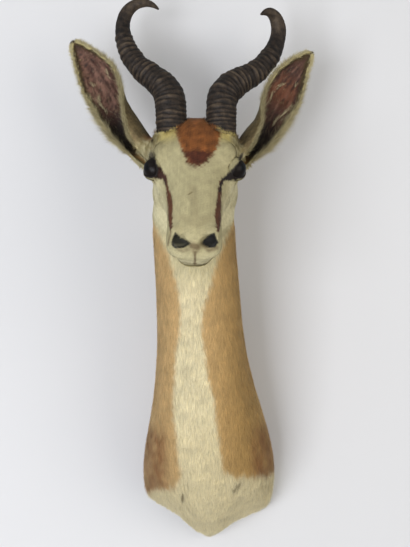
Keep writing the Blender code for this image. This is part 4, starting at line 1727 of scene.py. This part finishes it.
LEFT_HORN: Rows = (
    (-0.0480, -0.151, 0.380, 0.0180), (-0.0490, -0.150, 0.404, 0.0183), (-0.0500, -0.148, 0.426, 0.0186),
    (-0.0520, -0.144, 0.443, 0.0188), (-0.0600, -0.139, 0.458, 0.0176), (-0.0760, -0.130, 0.473, 0.0156),
    (-0.0930, -0.119, 0.488, 0.0137), (-0.1070, -0.107, 0.509, 0.0120), (-0.1150, -0.096, 0.531, 0.0104),
    (-0.1170, -0.090, 0.551, 0.0092), (-0.1120, -0.088, 0.568, 0.0087), (-0.1005, -0.090, 0.578, 0.0073),
    (-0.0870, -0.096, 0.579, 0.0056), (-0.0760, -0.104, 0.574, 0.0036), (-0.0680, -0.110, 0.567, 0.0013),
)
RIGHT_HORN: Rows = (
    (0.0145, -0.151, 0.380, 0.0178), (0.0150, -0.150, 0.404, 0.0181), (0.0155, -0.148, 0.428, 0.0181),
    (0.0170, -0.144, 0.442, 0.0186), (0.0240, -0.138, 0.454, 0.0184), (0.0390, -0.129, 0.467, 0.0164),
    (0.0570, -0.118, 0.478, 0.0145), (0.0730, -0.105, 0.494, 0.0131), (0.0850, -0.095, 0.512, 0.0119),
    (0.0920, -0.089, 0.530, 0.0106), (0.0940, -0.088, 0.546, 0.0102), (0.0900, -0.092, 0.559, 0.0088),
    (0.0825, -0.099, 0.565, 0.0067), (0.0755, -0.105, 0.564, 0.0044), (0.0690, -0.110, 0.560, 0.0014),
)


@dataclass
class Horn:
    """A ringed horn."""

    side: Side
    rows: Rows
    rings: int = 31
    ring_height: float = 2.2 * MM
    ringed_share: float = 0.80
    crowding: float = 0.45  # rings lie this much closer at the base than half way up
    depth_ratio: float = 1.16
    steps: int = 420
    sides: int = 48

    def places(self, shares: np.ndarray) -> np.ndarray:
        """X, Y, Z and half width at shares of the horn's length.

        Args:
            shares: from 0 at the foot to 1 at the tip.

        Returns:
            One row a share.
        """
        rows = np.array(self.rows)
        fine = curve(np.linspace(0, len(rows) - 1, (len(rows) - 1) * 12 + 1), np.arange(len(rows)), rows)
        lengths = np.linalg.norm(np.diff(fine[:, :3], axis=0), axis=1)
        along = np.concatenate([[0.0], np.cumsum(lengths)])
        return curve(shares * along[-1], along, fine)

    def swell(self, shares: np.ndarray, turns: np.ndarray, rng: np.random.Generator) -> np.ndarray:
        """How far the rings stand out, from 0 to 1, one row a share and one column a turn.

        Args:
            shares: from 0 at the foot to 1 at the tip.
            turns: angles round the horn.
            rng: the horn's own random draws.

        Returns:
            The heights.
        """
        slant = 0.006 * np.sin(turns + rng.uniform(0, math.tau)) + 0.003 * np.sin(2 * turns + 1.0)
        wobble = sum(
            np.sin(turns * n + shares[:, None] * 40 * n + rng.uniform(0, math.tau)) for n in (3, 4, 5)
        )
        at = np.clip((shares[:, None] + slant + 0.0011 * wobble) / self.ringed_share, 0.0, 1.0)
        spread = self.crowding
        number = at * (1 + spread - spread * at) * self.rings
        phase, whole = np.modf(number)
        uneven = rng.uniform(0.45, 1.05, self.rings + 2)[whole.astype(int)]
        lumps = 0.22 * np.sin(turns * 2 + whole * 1.7) + 0.12 * np.sin(turns * 5 + whole * 2.9)
        uneven = uneven * (1 + lumps)
        crest = np.where(phase < 0.55, ease(phase, -0.1, 0.55), ease(phase, 1.02, 0.55))
        fading = np.clip((self.rings - number) / 5, 0.0, 1.0)
        fine = 0.5 + 0.5 * np.sin(math.tau * number * 2.7 + 2 * np.sin(turns * 3 + number))
        return (0.86 * crest + 0.14 * fine) * uneven * fading * ease(at, 1.0, 0.97)

    def build(self, material: bpy.types.Material) -> None:
        """Makes the horn.

        Args:
            material: what it is made of.
        """
        rng = np.random.default_rng(60 + self.side.value)
        shares = np.linspace(0.0, 1.0, self.steps)
        turns = np.arange(self.sides) * math.tau / self.sides
        places = self.places(shares)
        ahead = unit(np.gradient(places[:, :3], axis=0))
        back = np.array((0.0, 1.0, 0.0))
        deep = unit(back - ahead * (ahead @ back)[:, None])
        wide = np.cross(ahead, deep)
        swell = self.swell(shares, turns, rng)
        fibres = sum(
            np.sin(turns * n + rng.uniform(0, math.tau) + 2 * np.sin(shares[:, None] * rng.uniform(4, 9)))
            for n in (9, 13, 17, 22)
        ) / 4
        # The grooves are shallow by the head and cut deeper half way up.
        depth = self.ring_height * (0.45 + 0.35 * ease(shares, 0.1, 0.35))[:, None]
        fades_from = self.ringed_share * (1 - 5 / self.rings)
        ringed = ease(shares, self.ringed_share, fades_from)[:, None]
        reach = places[:, 3:4] + (self.ring_height - depth) * ringed + swell * depth
        reach = reach + fibres * 0.2 * MM * (0.3 + 0.7 * swell)
        ratio = (1 + (self.depth_ratio - 1) * (1 - shares))[:, None]
        points = (
            places[:, None, :3]
            + wide[:, None, :] * (reach * np.cos(turns))[:, :, None]
            + deep[:, None, :] * (reach * ratio * np.sin(turns))[:, :, None]
        ).reshape(-1, 3)
        ends = np.stack([places[0, :3], places[-1, :3] + ahead[-1] * places[-1, 3]])
        faces = grid_faces(self.steps, self.sides)
        last = len(points)
        ring = np.arange(self.sides)
        after = (ring + 1) % self.sides
        top = (self.steps - 1) * self.sides
        bottom_cap = np.stack([np.full(self.sides, last), after, ring, ring], 1)
        top_cap = np.stack([np.full(self.sides, last + 1), top + ring, top + after, top + after], 1)
        triangles = np.concatenate(
            [faces[:, [0, 1, 2]], faces[:, [0, 2, 3]], bottom_cap[:, :3], top_cap[:, :3]]
        )
        name = f"horn_{self.side.name.lower()}"
        all_points = np.concatenate([points, ends])
        horn = mesh_object(f"{name}_sheath", all_points, turned_out(all_points, triangles))
        smooth = (ease(shares, 0.70, 0.86) * (0.62 - 0.2 * ease(shares, 0.9, 1.0)))[:, None]
        patches = 0.16 * ripple(points, 0.012, 62).reshape(self.steps, self.sides)
        # The colour follows the rings: darkest in the grooves as painted shade, lighter on the crests from
        # rubbing and a painted highlight.
        wear_and_painted_light = np.clip(0.10 + swell ** 1.1 * 0.8 + smooth + patches, 0, 1)
        mark(horn, RIDGE, np.concatenate([wear_and_painted_light.ravel(), [0.0, 0.4]]))
        dress(horn, material, Slot.HORN, name)


@dataclass
class Eye:
    """A glass eye and the lids round it."""

    side: Side
    upper: float  # the opening's half angles in degrees: above, below and towards the corners
    lower: float
    long: float
    radius: float = 14.5 * MM
    steps: int = 64
    lid_steps: int = 72
    lid_edge: str = "#17100D"
    lash: str = "#14100D"

    def axes(self) -> tuple[np.ndarray, np.ndarray, np.ndarray]:
        """The way the eye looks, the way to its front corner, and up between the lids.

        Returns:
            Three directions at right angles.
        """
        head = HeadAxes()
        across = np.array((1.0, 0.0, 0.0)) * self.side.value
        looks = unit(across * 0.76 + head.down_face * 0.20 + head.off_face * 0.55)
        front = head.down_face * 0.9 - across * 0.45 + head.off_face * 0.05
        front = unit(front - looks * (front @ looks))
        up = np.cross(front, looks) * self.side.value
        return looks, front, up * np.sign(up[2])

    def opening(self, turns: np.ndarray) -> np.ndarray:
        """The angle from the eye's middle to the lid's edge, largest towards the corners.

        Args:
            turns: angles round the eye, from its front corner.

        Returns:
            One angle a turn, in radians.
        """
        short = np.radians(np.where(np.sin(turns) > 0, self.upper, self.lower))
        pointed = np.abs(np.cos(turns)) ** 1.5
        edge = 1 / np.sqrt((np.cos(turns) / math.radians(self.long)) ** 2 + (np.sin(turns) / short) ** 2)
        return edge * (1 - 0.4 * (1 - pointed) * pointed * 0.6)

    def lashes(self, material: bpy.types.Material) -> None:
        """A row of long dark lashes on the upper lid, most of them by its outer corner.

        Args:
            material: what hair is made of.
        """
        looks, front, up = self.axes()
        barber = Barber(57 + self.side.value)
        turns = np.radians(barber.rng.triangular(70, 165, 200, 260))[:, None]
        edge = self.opening(turns)
        sideways = front * np.cos(turns) + up * np.sin(turns)
        normals = sideways * np.sin(edge) + looks * np.cos(edge)
        ways = unit(sideways * 0.8 - front * 0.5 + barber.rng.normal(0, 0.15, (len(turns), 3)))
        count = len(turns)
        tint = plain(self.lash, count)
        hairs = Hairs(
            normals * (self.radius + 1.0 * MM) + eye_centre(self.side), normals, ways,
            np.full(count, 8.0 * MM), np.full(count, 0.45 * MM), np.full(count, 0.45), tint, tint,
        )
        barber.cut(f"lashes_{self.side.name.lower()}", hairs, material)

    def lids(self, hide: bpy.types.Material, plan: CoatPlan) -> tuple[bpy.types.Object, np.ndarray]:
        """Makes the lids: a thin shell over the ball with an almond-shaped opening and a rolled edge.

        Args:
            hide: what they are made of.
            plan: the coat's colours.

        Returns:
            The lids, and each vertex's row from their edge.
        """
        looks, front, up = self.axes()
        around = self.lid_steps
        turns = np.arange(around) * math.tau / around
        opening = self.opening(turns)
        rings = []
        # Radians beyond the edge, then mm above the ball.
        profile = ((-0.02, 0.2), (-0.01, 0.75), (0.04, 1.2), (0.09, 1.35), (0.15, 1.35), (0.24, 1.25),
                   (0.42, 0.9), (0.65, 0.3), (0.9, -0.6))
        for beyond, height in profile:
            angle = opening + beyond
            level = self.radius + height * MM
            ring = (
                front[None] * np.cos(turns)[:, None] + up[None] * np.sin(turns)[:, None]
            ) * np.sin(angle)[:, None] + looks[None] * np.cos(angle)[:, None]
            rings.append(ring * level)
        points = np.concatenate(rings)
        faces = grid_faces(len(profile), around)
        normals = unit(points)
        a, b, c = (points[faces[:, i]] for i in range(3))
        outwards = dot(np.cross(b - a, c - a), points[faces].mean(1)).sum() > 0
        faces = faces if outwards else faces[:, ::-1]
        places = points + eye_centre(self.side)
        lid = mesh_object(f"eyelids_{self.side.name.lower()}", places, faces)
        shade = np.repeat([0.0, 0.0, 0.0, 0.1, 0.5, 1.0, 1.0, 1.0, 1.0], around)
        colours = blend(plain(self.lid_edge, len(points)), plan.skin_colour(places, normals) * 0.8, shade)
        paint(lid, COAT_COLOUR, colours)
        dress(lid, hide, Slot.COAT)
        return lid, np.repeat(np.arange(len(profile)), around)

    def build(self, glass: bpy.types.Material, finish: EyeGlass) -> None:
        """Makes the ball, with a bulge in front and a long pupil.

        Args:
            glass: what it is made of.
            finish: its colours.
        """
        looks, front, up = self.axes()
        polar = np.linspace(0, math.pi, 49)[1:-1]
        steps = self.steps
        turns = np.arange(steps) * math.tau / steps
        bulge = self.radius * (1 + 0.035 * ease(polar, 0.75, 0.25))
        ring = (
            front[None, None] * np.cos(turns)[None, :, None] + up[None, None] * np.sin(turns)[None, :, None]
        ) * np.sin(polar)[:, None, None] + looks * np.cos(polar)[:, None, None]
        points = (ring * bulge[:, None, None]).reshape(-1, 3)
        poles = np.stack([looks * self.radius * 1.035, -looks * self.radius])
        quads = grid_faces(len(polar), steps)
        around, after = np.arange(steps), (np.arange(steps) + 1) % steps
        last, base = len(points), (len(polar) - 1) * steps
        caps = np.concatenate([
            np.stack([np.full(steps, last), after, around], 1),
            np.stack([np.full(steps, last + 1), base + around, base + after], 1),
        ])
        triangles = np.concatenate([quads[:, [0, 2, 1]], quads[:, [0, 3, 2]], caps[:, [0, 2, 1]]])
        all_points = np.concatenate([points, poles])
        name = f"eye_{self.side.name.lower()}"
        ball = mesh_object(
            f"{name}_ball", all_points + eye_centre(self.side), turned_out(all_points, triangles)
        )
        long_way, short_way = all_points @ front, all_points @ up
        pupil = ease(np.hypot(long_way / 0.0075, short_way / 0.0042), 1.05, 0.95) * (all_points @ looks > 0)
        colours = tinted(plain(finish.iris, len(all_points)), finish.pupil, pupil)
        paint(ball, COAT_COLOUR, colours)
        dress(ball, glass, Slot.EYE, name)


# The room


@dataclass
class Studio:
    """The wall that the mount hangs on, a pale floor, soft light and the camera."""

    emulsion: str = "#CFCFCF"
    surround: str = "#E8EAEC"
    surround_strength: float = 0.58
    floor_height: float = -1.5
    lens: float = 64.83
    camera_place: tuple[float, float, float] = (-0.0058, -1.425, 0.214)

    def surface(self, name: str, corners: Rows, one_sided: bool) -> bpy.types.Object:
        """A flat stage surface in matt emulsion paint.

        Args:
            name: its name.
            corners: its four corners.
            one_sided: if it is a flat that only its painted side shows.

        Returns:
            The surface.
        """
        plane = mesh_object(name, np.array(corners, float), np.array([[0, 1, 2, 3]]))
        made, tree = empty_material(f"{name}_matt_emulsion")
        place = add_node(tree, "ShaderNodeTexCoord")
        roller = add_node(
            tree, "ShaderNodeTexNoise", {"Scale": 1 / (3 * MM), "Detail": 2.0},
            {"Vector": place.outputs["Object"]},
        )
        bump = add_node(
            tree, "ShaderNodeBump", {"Strength": 0.05, "Distance": 0.2 * MM},
            {"Height": roller.outputs["Fac"]},
        )
        shader = add_node(
            tree, "ShaderNodeBsdfPrincipled",
            {"Base Color": (*linear(self.emulsion), 1), "Roughness": 0.92, "Specular IOR Level": 0.1},
            {"Normal": bump.outputs["Normal"]},
        )
        if one_sided:
            facing = add_node(tree, "ShaderNodeNewGeometry")
            clear = add_node(tree, "ShaderNodeBsdfTransparent")
            shader = add_node(
                tree, "ShaderNodeMixShader",
                links={0: facing.outputs["Backfacing"], 1: shader.outputs[0], 2: clear.outputs[0]},
            )
            plane.visible_shadow = plane.visible_diffuse = False
            plane.visible_glossy = plane.visible_transmission = False
        close(tree, shader)
        plane.data.materials.append(made)
        return plane

    def build(self) -> None:
        """Sets up the room."""
        low, back = self.floor_height, 0.001
        wall = ((-3, back, low), (3, back, low), (3, back, 2.5), (-3, back, 2.5))
        floor = ((-3, -3, low), (3, -3, low), (3, back, low), (-3, back, low))
        self.surface("wall", wall, one_sided=True)
        self.surface("floor", floor, one_sided=False)
        self.sky()
        self.lamp("window", (-1.0, -2.1, -0.15), 1.2, 42.0, "#F6F8FF")
        self.lamp("bounce", (1.8, -1.9, 0.4), 1.8, 25.0, "#FFF8EE")
        self.lamp("skylight", (-1.6, -1.2, 1.5), 1.0, 4.0, "#F4F7FF")
        camera = bpy.data.cameras.new("camera")
        camera.lens = self.lens
        camera.sensor_width = 36.0
        holder = bpy.data.objects.new("camera", camera)
        holder.location = self.camera_place
        holder.rotation_euler = (math.pi / 2, 0.0, 0.0)
        bpy.context.scene.collection.objects.link(holder)
        bpy.context.scene.camera = holder

    def sky(self) -> None:
        """An even pale surround."""
        world = bpy.data.worlds.new("surround")
        bpy.context.scene.world = world
        world.use_nodes = True
        background = world.node_tree.nodes["Background"]
        background.inputs["Color"].default_value = (*linear(self.surround), 1)
        background.inputs["Strength"].default_value = self.surround_strength

    def lamp(
        self, name: str, place: tuple[float, float, float], size: float, power: float, colour: str
    ) -> None:
        """A large soft lamp that faces the mount.

        Args:
            name: its name.
            place: where it stands.
            size: its width in metres.
            power: its watts.
            colour: its light as sRGB hex.
        """
        light = bpy.data.lights.new(name, "AREA")
        light.size = size
        light.energy = power
        light.color = linear(colour)
        holder = bpy.data.objects.new(name, light)
        holder.location = place
        holder.rotation_euler = (Vector((0, -0.1, 0.25)) - Vector(place)).to_track_quat("-Z", "Y").to_euler()
        bpy.context.scene.collection.objects.link(holder)


def main() -> None:
    """Builds the mount piece by piece."""
    logging.basicConfig(level=logging.INFO, format="%(message)s")
    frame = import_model()
    bpy.context.scene.view_settings.view_transform = "Standard"
    Studio().build()
    plan = CoatPlan()
    hide = Hide(plan)
    skin_material = TannedHide().material()
    hide.build(frame["nodes"]["hide"], skin_material)
    coat, hair = Coat(plan), GuardHair().material()
    coat.build(hide.skin, hair)
    keratin = HornKeratin().material()
    horns = (Horn(Side.LEFT, LEFT_HORN), Horn(Side.RIGHT, RIGHT_HORN))
    for horn in horns:
        horn.build(keratin)
    coat.horn_collars(horns, hair)
    glass = EyeGlass()
    glass_material = glass.material()
    # The left eye is wide open. The right one's upper lid hangs lower, in a straight line.
    for eye in (Eye(Side.LEFT, upper=55, lower=48, long=73), Eye(Side.RIGHT, upper=32, lower=55, long=80)):
        eye.build(glass_material, glass)
        lid, rows = eye.lids(skin_material, plan)
        coat.line_lids(eye.side, lid, rows, hair)
        eye.lashes(hair)
    board = frame["nodes"]["back_board"]
    board.data.materials[0] = PlanedPine().material()


if __name__ == "__main__":
    main()
